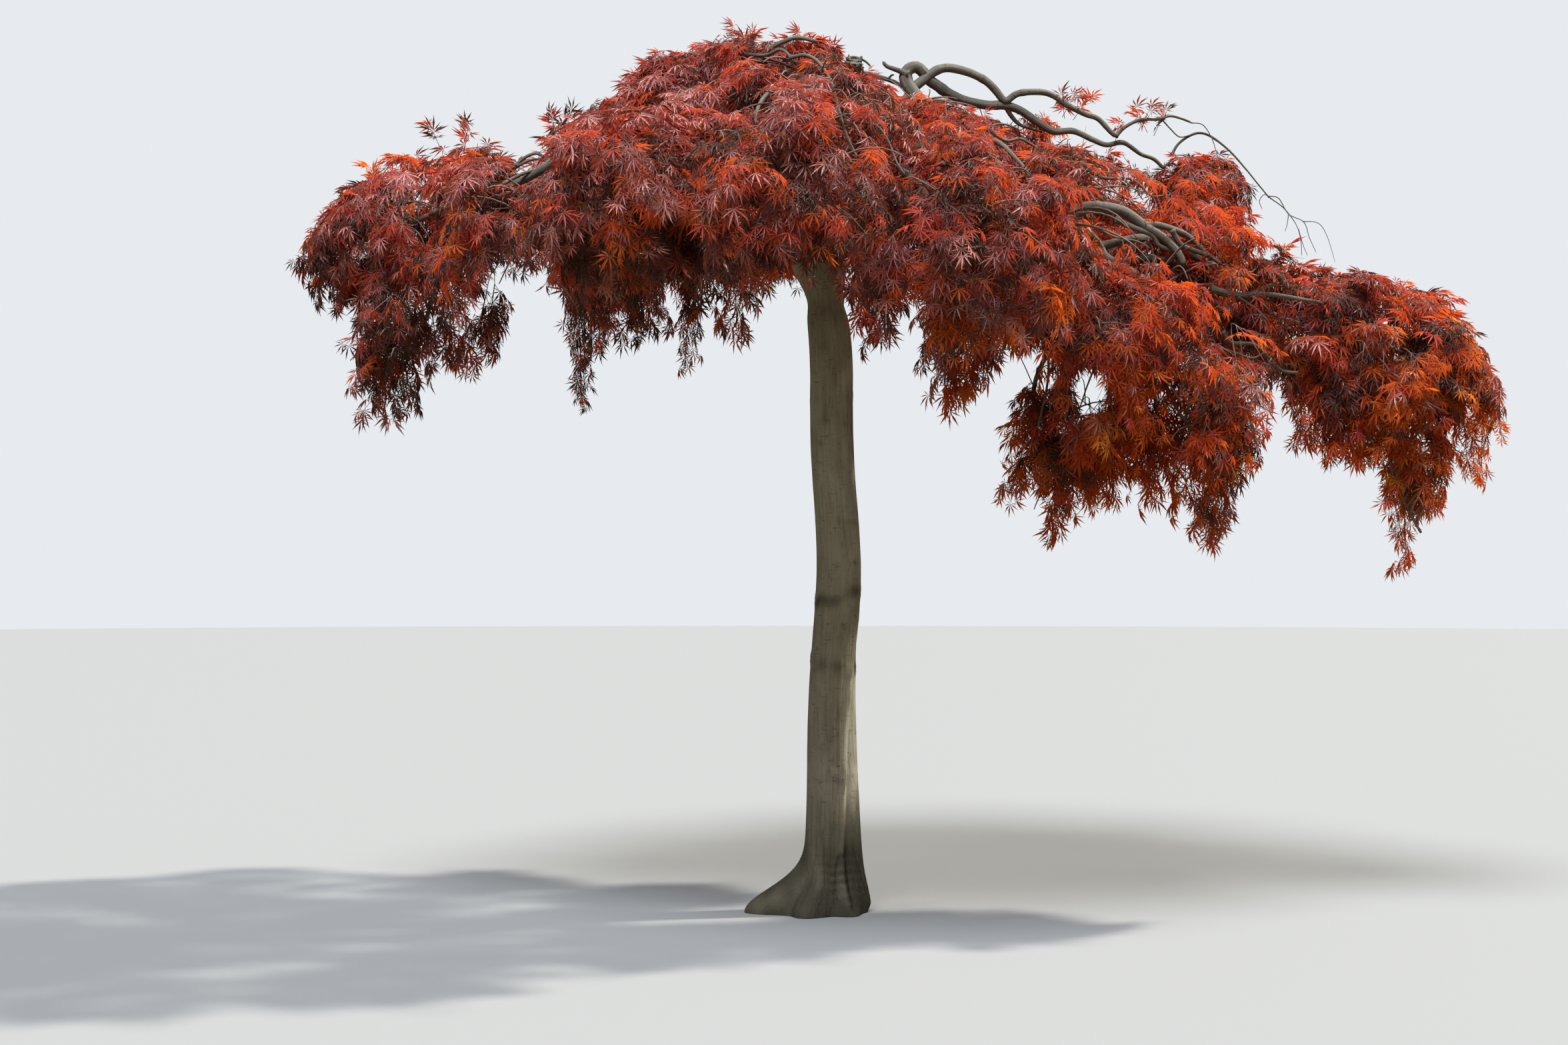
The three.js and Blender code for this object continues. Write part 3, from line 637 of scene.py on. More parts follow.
def limb_surface(row, length, seed, collar):
    """The radius of a limb: its taper, its collar, its rings and the swell of the bark."""
    draw = stream(900 + seed)
    least, more = RING_SPACING
    rings = np.cumsum([least + more * next(draw) for _ in range(int(length / least))])
    foot = 0.1 if getattr(row, "parent", None) == "trunk" else 0.45

    def radius(share, turn):
        along = share * length
        base = girth_at(row, share)
        base = base * (1 + foot * np.exp(-((along / (1.9 * collar)) ** 2)))
        angle = np.radians(turn)
        around = np.stack([np.cos(angle), np.sin(angle), along / 0.09], axis=1)
        swell = 0.07 * rough(around, 0.8, seed) + 0.03 * rough(around * [3, 3, 2.5], 1, seed + 5)
        for ring in rings:
            swell = swell + 0.1 * np.exp(-(((along - ring) / RING_WIDTH) ** 2))
        end = np.clip((1 - share) * length / 0.006, 0.25, 1)
        return base * (1 + swell) * end

    return radius


# %% Model the boughs and the limbs
def model_limbs(name, rows, sides):
    bm = bmesh.new()
    for row in rows:
        seed = LIMBS.index(row) + 1
        length = lines[row.name][1]
        points = limb_points(row, max(12, round(length / RING_STEP)) + 1, seed)
        sweep(bm, points, limb_surface(row, length, seed, parent_girth(row)), sides, grain_start=seed * 3.7)
    return finish_piece(bm, name, LIMB_BARK, [row.name for row in rows])


boughs = [row for row in LIMBS if row.name.startswith("bough")]
ridge = [row for row in LIMBS if "ridge" in row.name]
model_limbs("bough_bark", boughs, 24)
model_limbs("limb_bark", [row for row in LIMBS if row not in boughs + ridge], 14)

# %% [markdown]
# ## Limbs that stand clear of the leaves
# On top of the tree, and at a few places in its side, old limbs show bare. Their bends are what one
# remembers of this tree, so each has its own points. They are given as the front shows them: the
# way across and the height in millimetres, at the trunk's distance from the eye. A depth behind the
# trunk says where the limb really is, and it is moved along the line of sight to get there.
# On the top there is also a broken knob of old wood: a ball that noise has made uneven.

# %% Between the front view and places
EYE = np.array([-216, -9500, 1500]) * MM


def front_view(points):
    """The way across and the height at which the front shows points, at the trunk's distance."""
    scale = EYE[1] / (EYE[1] - points[..., 1:2])
    return EYE[[0, 2]] + (points[..., [0, 2]] - EYE[[0, 2]]) * scale


def from_front(across, height, depth):
    """The place at a depth behind the trunk that shows at a point of the front view."""
    scale = (EYE[1] - depth) / EYE[1]
    x = EYE[0] + (across - EYE[0]) * scale
    return np.stack([x, depth, EYE[2] + (height - EYE[2]) * scale], axis=-1)


# %% The bare limbs, as the front shows them
BareLimb = namedtuple("BareLimb", "name depths girth tip points")
BARE_LIMBS = [BareLimb(*row) for row in [
    ("ridge_low", (60, 330), 34, 8, [
        (425, 3668), (392, 3718), (356, 3768), (342, 3812), (356, 3846), (392, 3857), (424, 3832),
        (450, 3797), (492, 3768), (545, 3731), (617, 3700), (717, 3681), (798, 3679), (870, 3655),
        (950, 3600), (1020, 3560), (1110, 3562), (1200, 3522), (1265, 3498), (1340, 3508), (1420, 3456),
        (1480, 3432), (1528, 3385)]),
    ("ridge_low_end", (330, 340), 8, 4, [(1520, 3395), (1560, 3413), (1592, 3395), (1606, 3350)]),
    ("ridge_fork", (180, 260), 13, 6, [(800, 3680), (828, 3630), (870, 3590), (960, 3560)]),
    ("ridge_high", (80, 260), 25, 11, [
        (352, 3700), (366, 3742), (396, 3776), (438, 3808), (478, 3839), (526, 3853), (580, 3847),
        (648, 3826), (712, 3792), (756, 3748), (786, 3710), (806, 3702), (860, 3736), (960, 3742),
        (1020, 3725), (1080, 3684), (1165, 3640), (1225, 3618), (1280, 3560), (1311, 3534)]),
    ("ridge_high_end", (260, 320), 10, 5, [
        (1304, 3538), (1350, 3582), (1420, 3614), (1500, 3616), (1555, 3631), (1610, 3618), (1655, 3600)]),
    ("ridge_thread", (320, 330), 3, 1.5, [
        (1650, 3600), (1705, 3590), (1745, 3530), (1768, 3460), (1790, 3400)]),
    ("ridge_link", (300, 330), 4, 3, [(1515, 3618), (1560, 3568), (1600, 3534), (1650, 3545)]),
    ("ridge_outer", (330, 361), 8, 3, [
        (1560, 3450), (1590, 3500), (1640, 3538), (1690, 3553), (1745, 3535), (1825, 3472),
        (1900, 3388), (1950, 3325), (2005, 3258)]),
    ("outer_twig_a", (361, 361), 3, 1.5, [
        (2000, 3262), (2050, 3252), (2095, 3180), (2165, 3142), (2190, 3070), (2222, 3000)]),
    ("outer_twig_b", (361, 361), 3, 1.5, [
        (2005, 3258), (2075, 3205), (2130, 3130), (2150, 3060), (2155, 2985)]),
    ("outer_twig_c", (361, 361), 2.5, 1.2, [(2140, 3110), (2160, 3040), (2182, 2985)]),
    ("outer_twig_d", (361, 361), 2.5, 1, [(2160, 3145), (2230, 3138), (2270, 3080), (2308, 2955)]),
    ("outer_twig_e", (361, 361), 2.5, 1.2, [(2095, 3180), (2090, 3140), (2078, 3095)]),
    ("outer_twig_f", (361, 361), 3, 1.5, [(2005, 3258), (1985, 3270), (1962, 3240), (1975, 3200)]),
    ("arm", (-330, -260), 31, 16, [
        (1085, 3170), (1155, 3205), (1230, 3210), (1320, 3197), (1380, 3166), (1440, 3120),
        (1520, 3070), (1585, 3005), (1617, 2940)]),
    ("arm_upper", (-290, -200), 17, 9, [
        (1430, 3128), (1500, 3128), (1590, 3100), (1645, 3070), (1715, 3002), (1790, 2945)]),
    ("arm_middle", (-280, -220), 12, 9, [(1560, 3106), (1600, 3040), (1660, 3012), (1740, 2985)]),
    ("arm_lower", (-320, -260), 15, 8, [
        (1300, 3155), (1380, 3118), (1470, 3082), (1500, 3036), (1575, 3005)]),
    ("arm_thread", (-420, -400), 6, 3, [(1215, 3118), (1295, 3076), (1400, 3054), (1460, 3022)]),
    ("inner_branch", (-150, -100), 7, 4, [(705, 3570), (760, 3592), (811, 3590), (867, 3566)]),
    ("inner_branch_low", (-190, -150), 9, 5, [
        (715, 3575), (770, 3535), (811, 3516), (867, 3526), (915, 3502), (957, 3474)]),
    ("inner_limb", (-230, -300), 14, 7, [
        (720, 3530), (783, 3498), (839, 3442), (887, 3387), (915, 3330)]),
    ("hanging_branch", (-430, -470), 8, 5, [
        (960, 2700), (978, 2611), (993, 2500), (988, 2402), (965, 2290), (943, 2193)]),
    ("side_branch", (60, 60), 9, 4, [
        (1180, 3402), (1250, 3346), (1360, 3344), (1410, 3316), (1470, 3262), (1545, 3268)]),
    ("side_branch_low", (40, 40), 6, 3, [(1180, 3362), (1240, 3312), (1310, 3302)]),
    ("east_branch", (-430, -400), 16, 9, [
        (1740, 2835), (1830, 2812), (1910, 2808), (1970, 2838), (2050, 2864)]),
    ("east_branch_end", (-410, -400), 12, 7, [(1940, 2818), (2040, 2806), (2160, 2786), (2245, 2772)]),
    ("east_twig", (-425, -420), 6, 4, [(1860, 2800), (1940, 2745), (2000, 2690)]),
    ("low_branch", (-430, -350), 10, 6, [
        (1790, 2640), (1832, 2588), (1930, 2580), (2000, 2520), (2060, 2462), (2140, 2450)]),
    ("low_branch_side", (-430, -400), 7, 4, [(1780, 2562), (1850, 2540), (1925, 2518), (1985, 2545)]),
    ("front_branch", (-620, -900), 9, 5, [
        (-190, 3900), (-120, 3912), (-60, 3880), (-5, 3800), (25, 3700), (55, 3590), (85, 3510),
        (120, 3440)]),
    ("front_branch_side", (-780, -900), 6, 4, [
        (65, 3580), (130, 3600), (215, 3582), (265, 3510), (300, 3420), (340, 3360)]),
    ("top_wood", (-60, -120), 14, 8, [
        (-330, 3880), (-290, 3935), (-220, 3975), (-150, 3992), (-60, 3975)]),
    ("top_wood_side", (-300, -500), 9, 6, [(-390, 3915), (-300, 3912), (-230, 3938), (-180, 3900)]),
    ("dark_stub", (-500, -700), 11, 6, [(-270, 3760), (-320, 3700), (-345, 3640), (-350, 3590)]),
    ("west_stub_arch", (-60, -60), 9, 6, [(-1450, 3400), (-1400, 3442), (-1345, 3458), (-1290, 3420)]),
    ("west_stub_inner", (-70, -70), 7, 5, [(-1440, 3400), (-1370, 3430), (-1320, 3428), (-1285, 3410)]),
    ("west_stub_low", (-160, -100), 9, 6, [(-1500, 3320), (-1420, 3362), (-1350, 3385), (-1310, 3402)]),
    ("west_twig", (-420, -440), 5, 3, [(-1945, 3235), (-1880, 3236), (-1815, 3214), (-1755, 3208)]),
    ("cut_stub", (70, 60), 15, 8, [(352, 3820), (318, 3838), (285, 3850), (255, 3862), (237, 3884)]),
    ("roof_wood", (120, 90), 13, 9, [(100, 3826), (160, 3828), (225, 3812), (290, 3788), (350, 3756)]),
    ("roof_wood_stub", (90, 80), 6, 4, [(262, 3800), (276, 3818), (290, 3822)]),
    ("knob_top", (20, 40), 9, 4, [(72, 3892), (100, 3903), (132, 3896), (160, 3882), (184, 3858)]),
    ("knob_chip", (10, 20), 7, 4, [(92, 3884), (80, 3902), (84, 3917)]),
    ("knob_stub", (20, 20), 8, 6, [(128, 3880), (137, 3899), (143, 3908)]),
]]


# %% Smooth lines through the points
def smooth_line(points, step):
    """A line that passes smoothly through points."""
    points = np.asarray(points, float)
    padded = np.concatenate([[2 * points[0] - points[1]], points, [2 * points[-1] - points[-2]]])
    made = []
    for a, b, c, d in zip(padded, padded[1:], padded[2:], padded[3:]):
        t = np.linspace(0, 1, max(3, round(np.linalg.norm(c - b) / step)), endpoint=False)[:, None]
        made.append(b + 0.5 * t * (c - a + t * (2 * a - 5 * b + 4 * c - d + t * (3 * (b - c) + d - a))))
    return np.concatenate(made + [points[-1:]])


def bare_line(row):
    """The middle line of a bare limb, with a point every 12 mm or so."""
    across, height = smooth_line(row.points, 12).T * MM
    depth = np.linspace(*row.depths, len(across)) * MM
    return from_front(across, height, depth)


# %% Sweep the bare limbs, and model the knob
bare_lines = [bare_line(row) for row in BARE_LIMBS]
bm = bmesh.new()
for index, (row, points) in enumerate(zip(BARE_LIMBS, bare_lines)):
    length = np.linalg.norm(np.diff(points, axis=0), axis=1).sum()
    sides = 14 if row.girth > 8 else 6
    surface = limb_surface(row, length, 60 + index, 0.4 * row.girth * MM)
    sweep(bm, points, surface, sides, grain_start=index * 2.9)

KNOB = {"across": 106, "height": 3862, "depth": 40, "size": 38, "form": (1.2, 1, 0.8)}
knob_place = from_front(*np.array([KNOB["across"], KNOB["height"], KNOB["depth"]]) * MM)
knob = bmesh.new()
layer = knob.verts.layers.float_vector.new("grain")
bmesh.ops.create_icosphere(knob, subdivisions=4, radius=1)
for vert in knob.verts:
    swell = 1 + 0.4 * noise.noise(vert.co * 1.6) + 0.4 * noise.noise(vert.co * 4.5)
    vert[layer] = vert.co * KNOB["size"] * MM
    vert.co = Vector(knob_place) + vert.co * Vector(KNOB["form"]) * swell * KNOB["size"] * MM
join_bmesh(bm, knob)
finish_piece(bm, "ridge_bark", LIMB_BARK, [row.name for row in ridge])

# %% [markdown]
# ## The spaces of the foliage
# The crown is made of masses of foliage, each an oval round the end of its limb. Where two ovals
# meet, a wall between them says which one a leaf belongs to. Leaves only grow where light falls, so
# the ends of the shoots are dealt over the outer faces, and none are spent inside a neighbour.

# %% Work out the spaces
carriers = [row for row in LIMBS if row.mass]
middles = np.array([(outward(row.azimuth) * row.reach + UP * row.height) * MM for row in carriers])
halves = np.array([row.mass for row in carriers]) * MM
sizes = halves.mean(axis=1)
axes = np.array([[outward(r.azimuth), np.cross(UP, outward(r.azimuth)), UP] for r in carriers])
apart = np.linalg.norm(middles[:, None] - middles[None], axis=2)


def in_space(points, own, overlap=0.0):
    """True for points that lie nearer to their own mass than to any other one."""
    power = ((points[:, None] - middles[None]) ** 2).sum(axis=2) - sizes**2
    margin = power - power[:, own][:, None] + 2 * apart[own] * overlap
    margin[:, own] = 1
    return (margin > 0).all(axis=1)


def place_in(own, way, share):
    """Points of a mass by their direction from its middle and their share of its half sizes."""
    return middles[own] + (way * halves[own] * np.reshape(share, (-1, 1))) @ axes[own]


def face_area(half):
    """Area of an oval's face."""
    a, b, c = half**1.6075
    return 4 * math.pi * ((a * b + a * c + b * c) / 3) ** (1 / 1.6075)


print("masses:", len(carriers), "with faces of", round(sum(map(face_area, halves)), 1), "square metres")

# %% [markdown]
# Ovals side by side would look like a bunch of balloons. So they are blended as drops of water
# are: near a neighbour the surface swells until the crease between the two is filled. Then the
# outline of the tree is laid over them, again as the front shows it: the upper edge of the leaves,
# the lower edge, and the gaps through which one sees daylight.

# %% The outline and the gaps, as the front shows them
ROOF = [
    (-2480, 2900), (-2440, 3010), (-2370, 3110), (-2270, 3210), (-2170, 3310), (-2110, 3370),
    (-2000, 3400), (-1880, 3440), (-1700, 3450), (-1500, 3440), (-1430, 3360), (-1330, 3390),
    (-1290, 3520), (-1200, 3600), (-1050, 3630), (-950, 3730), (-880, 3850), (-780, 3930), (-600, 3960),
    (-450, 4000), (-250, 3970), (-100, 4020), (10, 3980), (80, 3860), (200, 3830), (330, 3770),
    (560, 3740), (640, 3670), (760, 3600), (1000, 3620), (1220, 3560), (1300, 3430), (1500, 3330),
    (1540, 3390), (1700, 3450), (1880, 3440), (1930, 3330), (1945, 3080), (2120, 3030), (2300, 2970),
    (2420, 2900), (2620, 2890), (2790, 2820), (2880, 2720), (2950, 2610), (3010, 2470), (3060, 2300),
    (3120, 2150)]
FOOT = [
    (-2480, 2850), (-2400, 2780), (-2300, 2680), (-2230, 2450), (-2180, 2270), (-2060, 2260),
    (-1960, 2370), (-1860, 2480), (-1780, 2690), (-1620, 2740), (-1560, 2900), (-1450, 2960),
    (-1230, 2960), (-1210, 2720), (-1180, 2600), (-1096, 2560), (-980, 2620), (-872, 2660),
    (-710, 2700), (-640, 2780), (-600, 2740), (-450, 2690), (-380, 2700), (-330, 2900), (-200, 2800),
    (-150, 2950), (60, 2950), (100, 2830), (170, 2640), (270, 2620), (330, 2880), (420, 2880),
    (470, 2600), (560, 2340), (640, 2340), (700, 2250), (760, 1900), (850, 1760), (950, 1740),
    (1100, 1780), (1230, 1850), (1300, 2000), (1420, 1930), (1560, 1800), (1700, 1730), (1800, 1740),
    (1860, 1850), (1880, 2050), (2000, 2140), (2040, 2250), (2060, 2450), (2140, 2400), (2200, 2140),
    (2350, 2090), (2500, 2120), (2530, 1930), (2590, 1840), (2620, 1700), (2680, 1700), (2730, 1860),
    (2830, 1930), (2900, 1990), (3000, 1980), (3060, 2100), (3140, 2200)]
GAPS = [  # across, height, half width, half height
    (1185, 2340, 95, 135), (1380, 1890, 80, 80), (1450, 2955, 90, 35)]
roof_edge = [np.array(values) * MM for values in zip(*ROOF)]
foot_edge = [np.array(values) * MM for values in zip(*FOOT)]


def above_roof(points, margin=0.0):
    """True above the upper edge of the leaves, or less than a margin under it."""
    across, height = front_view(points).T
    return height > np.interp(across, *roof_edge) - margin


def below_foot(points, margin=0.0):
    """True below the lower edge of the leaves, or less than a margin over it."""
    across, height = front_view(points).T
    return height < np.interp(across, *foot_edge) + margin


def in_gap(points, margin=0.0):
    """True behind a gap. The margin may be one number, or one for each point."""
    margin = np.reshape(margin, (-1, 1, 1))
    seen = front_view(points)[:, None]
    ovals = np.array(GAPS) * MM
    off = (seen - ovals[None, :, :2]) / (ovals[None, :, 2:] + margin)
    return ((off**2).sum(axis=2) < 1).any(axis=1)


# %% Blend the masses, and fit the tips of the shoots inside the outline
BLEND = 5.0


def ovals_at(points):
    """How far out points are in each mass: 0 at its middle and 1 on its face."""
    local = np.einsum("pmi,mji->pmj", points[:, None] - middles[None], axes)
    return np.linalg.norm(local / halves, axis=2)


def blended(own, way):
    """Shares at which directions from a middle meet the face of the blended masses."""
    share = np.ones(len(way))
    for _ in range(6):
        near = ovals_at(place_in(own, way, share))
        share += 0.8 * (1 + np.log(np.exp(-BLEND * near).sum(axis=1)) / BLEND)
    return np.clip(share, 0.9, 1.35)


def fit_outline(own, way, share, draw, loose=False):
    """Draws tips in until the front shows them inside the outline. Also says which ones fit."""
    ragged = (0.16 if loose else 0.05) * draw.random(len(way))
    for _ in range(9):
        tips = place_in(own, way, share)
        outside = above_roof(tips, 0.05 + ragged) | below_foot(tips, 0.04 + ragged)
        share = np.where(outside, share * 0.93, share)
    return share, ~outside


# %% [markdown]
# ## How the shoots grow
# Each mass has a stem that runs on from the limb. Boughs of the second order fan out from the stem,
# and their ends are dealt over the face with the golden angle, as seeds are in a sunflower. Twigs
# leave the nearest of them, and each ends in a spray: a fan of short shoots that lies flat at the
# top of a mass, outward at its side and hanging at its foot. The sprays overlap like tiles, with
# dark hollows between them. Geometry Nodes could scatter them too, but a rule in arrays is shorter
# to write down and keeps the joints at hand, so that each twig really starts at a branch.

# %% Grow stems and branchlets
GOLDEN_ANGLE = math.pi * (3 - math.sqrt(5))
BRANCHLETS = 16
HANG_TOP = -0.1
HANG_FOOT = 2.0


def deal(count, top, bottom, draw):
    """Directions dealt evenly from the top to the bottom, turning by the golden angle."""
    index = np.arange(count)
    level = top - (top - bottom) * (index + draw.random(count)) / count
    turn = GOLDEN_ANGLE * index + 1.2 * draw.random(count)
    flat = np.sqrt(1 - level**2)
    return np.stack([flat * np.cos(turn), flat * np.sin(turn), level], axis=1)


def hang_of(own, way, draw):
    """Which way a spray points: outward, and down more steeply towards the foot of the mass."""
    flat = unit((way * [1, 1, 0] + [0.35, 0, 0]) @ axes[own])
    drop = HANG_TOP + (HANG_FOOT - HANG_TOP) * (1 - way[:, 2]) * 0.5 + 0.5 * (draw.random(len(way)) - 0.3)
    return unit(flat - UP * drop[:, None])


def mass_stem(row, own):
    """The stem of a mass: on from the limb's tip to the middle, or down through an open mass."""
    line = lines[row.name][0]
    tip, before = line(1)[0], line(0.98)[0]
    end = middles[own] - UP * (0.6 * halves[own][2] if row.name in OPEN_MASSES else 0)
    bend = tip + unit(tip - before) * np.linalg.norm(end - tip) * 0.4
    return [tip, bend, end]


def grow_branchlets(row, own, stem, draw):
    """Branchlets that fan out from the stem of a mass, and the directions of their ends."""
    ways = deal(BRANCHLETS, 0.9, -0.9, draw)
    share, _ = fit_outline(own, ways, np.full(BRANCHLETS, 0.8), draw)
    tips, near_tips = place_in(own, ways, share), place_in(own, ways, np.full(BRANCHLETS, 0.45))
    tips = np.where(in_space(tips, own, 0.03)[:, None], tips, near_tips)
    branchlets = []
    for i, (tip, hang) in enumerate(zip(tips, hang_of(own, ways, draw))):
        start = bezier(stem, 0.25 + 0.7 * i / BRANCHLETS)[0]
        branchlets.append([start, tip - hang * 0.5 * np.linalg.norm(tip - start), tip])
    return branchlets, ways


# %% Fan out the shoots of a spray
FAN = [(0.0, 0.0, 1.0), (0.75, 0.1, 0.85), (-0.75, 0.1, 0.85), (0.25, -0.7, 0.7)]  # aside, up, length
SHOOT_LENGTH = 0.19
Shoots = namedtuple("Shoots", "start bend tip out level mass inner spray")


def fan_out(nodes, hangs, outs, sizes, draw):
    """Shoots that fan out from nodes, as arches of three points, in arrays of nodes x shoots."""
    aside = unit(np.cross(hangs, unit(UP + 0.6 * outs)))
    lift = np.cross(aside, hangs)
    fan = np.array(FAN)[None] + 0.25 * draw.normal(size=(len(nodes), len(FAN), 3))
    way = unit(hangs[:, None] + aside[:, None] * fan[..., :1] + lift[:, None] * fan[..., 1:2])
    length = (sizes[:, None] * np.clip(fan[..., 2], 0.5, 1.3))[..., None]
    start = np.broadcast_to(nodes[:, None], way.shape)
    tip = start + way * length - UP * 0.22 * length
    return start, start + way * 0.5 * length + UP * 0.08 * length, tip


def make_sprays(nodes, hangs, outs, sizes, level, own, inner, first, draw):
    """A fan of shoots at each node. level says how far up its mass a spray is, from -1 to 1."""
    arches = fan_out(nodes, hangs, outs, sizes, draw)
    numbers = first + np.arange(len(nodes))
    notes = [np.broadcast_to(note, len(nodes)) for note in (level, own, inner, numbers)]
    return Shoots(
        *[part.reshape(-1, 3) for part in arches], outs.repeat(len(FAN), axis=0),
        *[note.repeat(len(FAN)) for note in notes])


# %% Grow the masses
SPRAYS_PER_METRE = 42
INNER_SHARE = 0.16
PAD = {"wide": 0.5, "tall": 0.3, "reach": 0.93, "hollow": 0.72, "sparse": 0.45}
Grown = namedtuple("Grown", "stem branchlets twigs shoots")


def grow_mass(row, own):
    """The stem, the branchlets, the twigs and the shoots of one mass."""
    draw = np.random.default_rng(500 + own)
    stem = mass_stem(row, own)
    branchlets, pads = grow_branchlets(row, own, stem, draw)
    joints = np.concatenate([bezier(b, np.linspace(0.15, 0.95, 12)) for b in branchlets])

    loose = row.name in LOOSE_MASSES
    count = int(SPRAYS_PER_METRE * face_area(halves[own]) * LOOSE_MASSES.get(row.name, 1))
    ways = deal(count, 0.97, -0.97, draw)
    away = (ways[:, None] - pads[None]) / [PAD["wide"], PAD["wide"], PAD["tall"]]
    nearest = (away**2).sum(axis=2).argmin(axis=1)
    pad = np.exp(-(away[np.arange(count), nearest] ** 2).sum(axis=1))
    inner = draw.random(count) < INNER_SHARE
    outer_share = PAD["hollow"] + (PAD["reach"] - PAD["hollow"]) * pad + 0.12 * (draw.random(count) - 0.5)
    share = np.where(inner, 0.4 + 0.3 * draw.random(count), outer_share * blended(own, ways))
    share = share * (0.45 + 0.62 * draw.random(count) ** 0.6 if loose else 1)
    share, fits = fit_outline(own, ways, share, draw, loose)
    tips = place_in(own, ways, share)
    dense = draw.random(count) < PAD["sparse"] + (1 - PAD["sparse"]) * pad
    keep = fits & in_space(tips, own, 0.01) & ~in_gap(tips, 0.03) & (inner | dense)
    ways, tips, inner = ways[keep], tips[keep], inner[keep]

    hangs = hang_of(own, ways, draw)
    hangs = unit(hangs - UP) if loose else hangs
    sizes = SHOOT_LENGTH * (0.75 + 0.5 * draw.random(len(tips)))
    nodes = tips - hangs * sizes[:, None] * 0.75 + UP * 0.2 * sizes[:, None]
    outs = unit(unit(tips - middles[own]) + 0.5 * outward(row.azimuth))
    starts = joints[np.linalg.norm(nodes[:, None] - joints[None], axis=2).argmin(axis=1)]
    bends = nodes - hangs * 0.4 * np.linalg.norm(nodes - starts, axis=1)[:, None]
    twig_lines = np.stack([starts, bends, nodes], axis=1)
    made = make_sprays(nodes, hangs, outs, sizes, ways[:, 2], own, inner, own * 1000, draw)
    return Grown(stem, branchlets, twig_lines, made)


grown = [grow_mass(row, own) for own, row in enumerate(carriers)]
branchlets = np.array([branchlet for mass in grown for branchlet in mass.branchlets])
print("sprays of the masses:", sum(len(mass.twigs) for mass in grown))

# %% Side twigs along the limbs
SIDE_SPRAYS_PER_METRE = 17
SPRAY_NUMBERS = {"limb": 80000, "edge": 88000, "strand": 90000, "sprig": 95000}


def dress_limb(row, own):
    """Twigs to both sides of a limb, each with a spray, from near its foot to its end."""
    draw = np.random.default_rng(700 + own)
    line, length = lines[row.name]
    count = round(SIDE_SPRAYS_PER_METRE * length)
    share = 0.22 + 0.75 * (np.arange(count) + draw.random(count)) / count
    place = line(share)
    sign = np.where(np.arange(count) % 2, 1, -1)[:, None]
    outs = unit(sign * np.cross(line(share + 0.01) - place, UP) + 0.004 * draw.normal(size=(count, 3)))
    reach = (0.16 + 0.3 * draw.random(count))[:, None]
    nodes = place + outs * reach + UP * (0.35 * draw.random((count, 1)) - 0.05) * reach
    hangs = unit(outs + 0.4 * outward(row.azimuth) - UP * (0.3 + 0.7 * draw.random((count, 1))))
    sizes = SHOOT_LENGTH * (0.7 + 0.4 * draw.random(count))
    tips = nodes + hangs * sizes[:, None]
    keep = ~(above_roof(tips, 0.1) | above_roof(nodes, 0.08) | below_foot(tips, 0.05) | in_gap(tips, 0.04))
    twig_lines = np.stack([place, (place + nodes) / 2 + UP * 0.03, nodes], axis=1)[keep]
    first = SPRAY_NUMBERS["limb"] + own * 100
    return twig_lines, make_sprays(
        nodes[keep], hangs[keep], outs[keep], sizes[keep], 0.3, own, False, first, draw)


draw = np.random.default_rng(31)
extra = [dress_limb(row, own) for own, row in enumerate(carriers)]
print("sprays along the limbs:", sum(len(twigs) for twigs, _ in extra))

# %% [markdown]
# Weeping foliage isn't even. Here and there a long twig hangs far below the rest with short shoots
# along it, and the lowest of these are thin. Along the upper edge some sprays cover the foot of the
# bare ridge. On the very top a few stray sprigs stand up. These show in the outline of the tree, so
# each strand and each sprig has its own place, given as the front shows it.

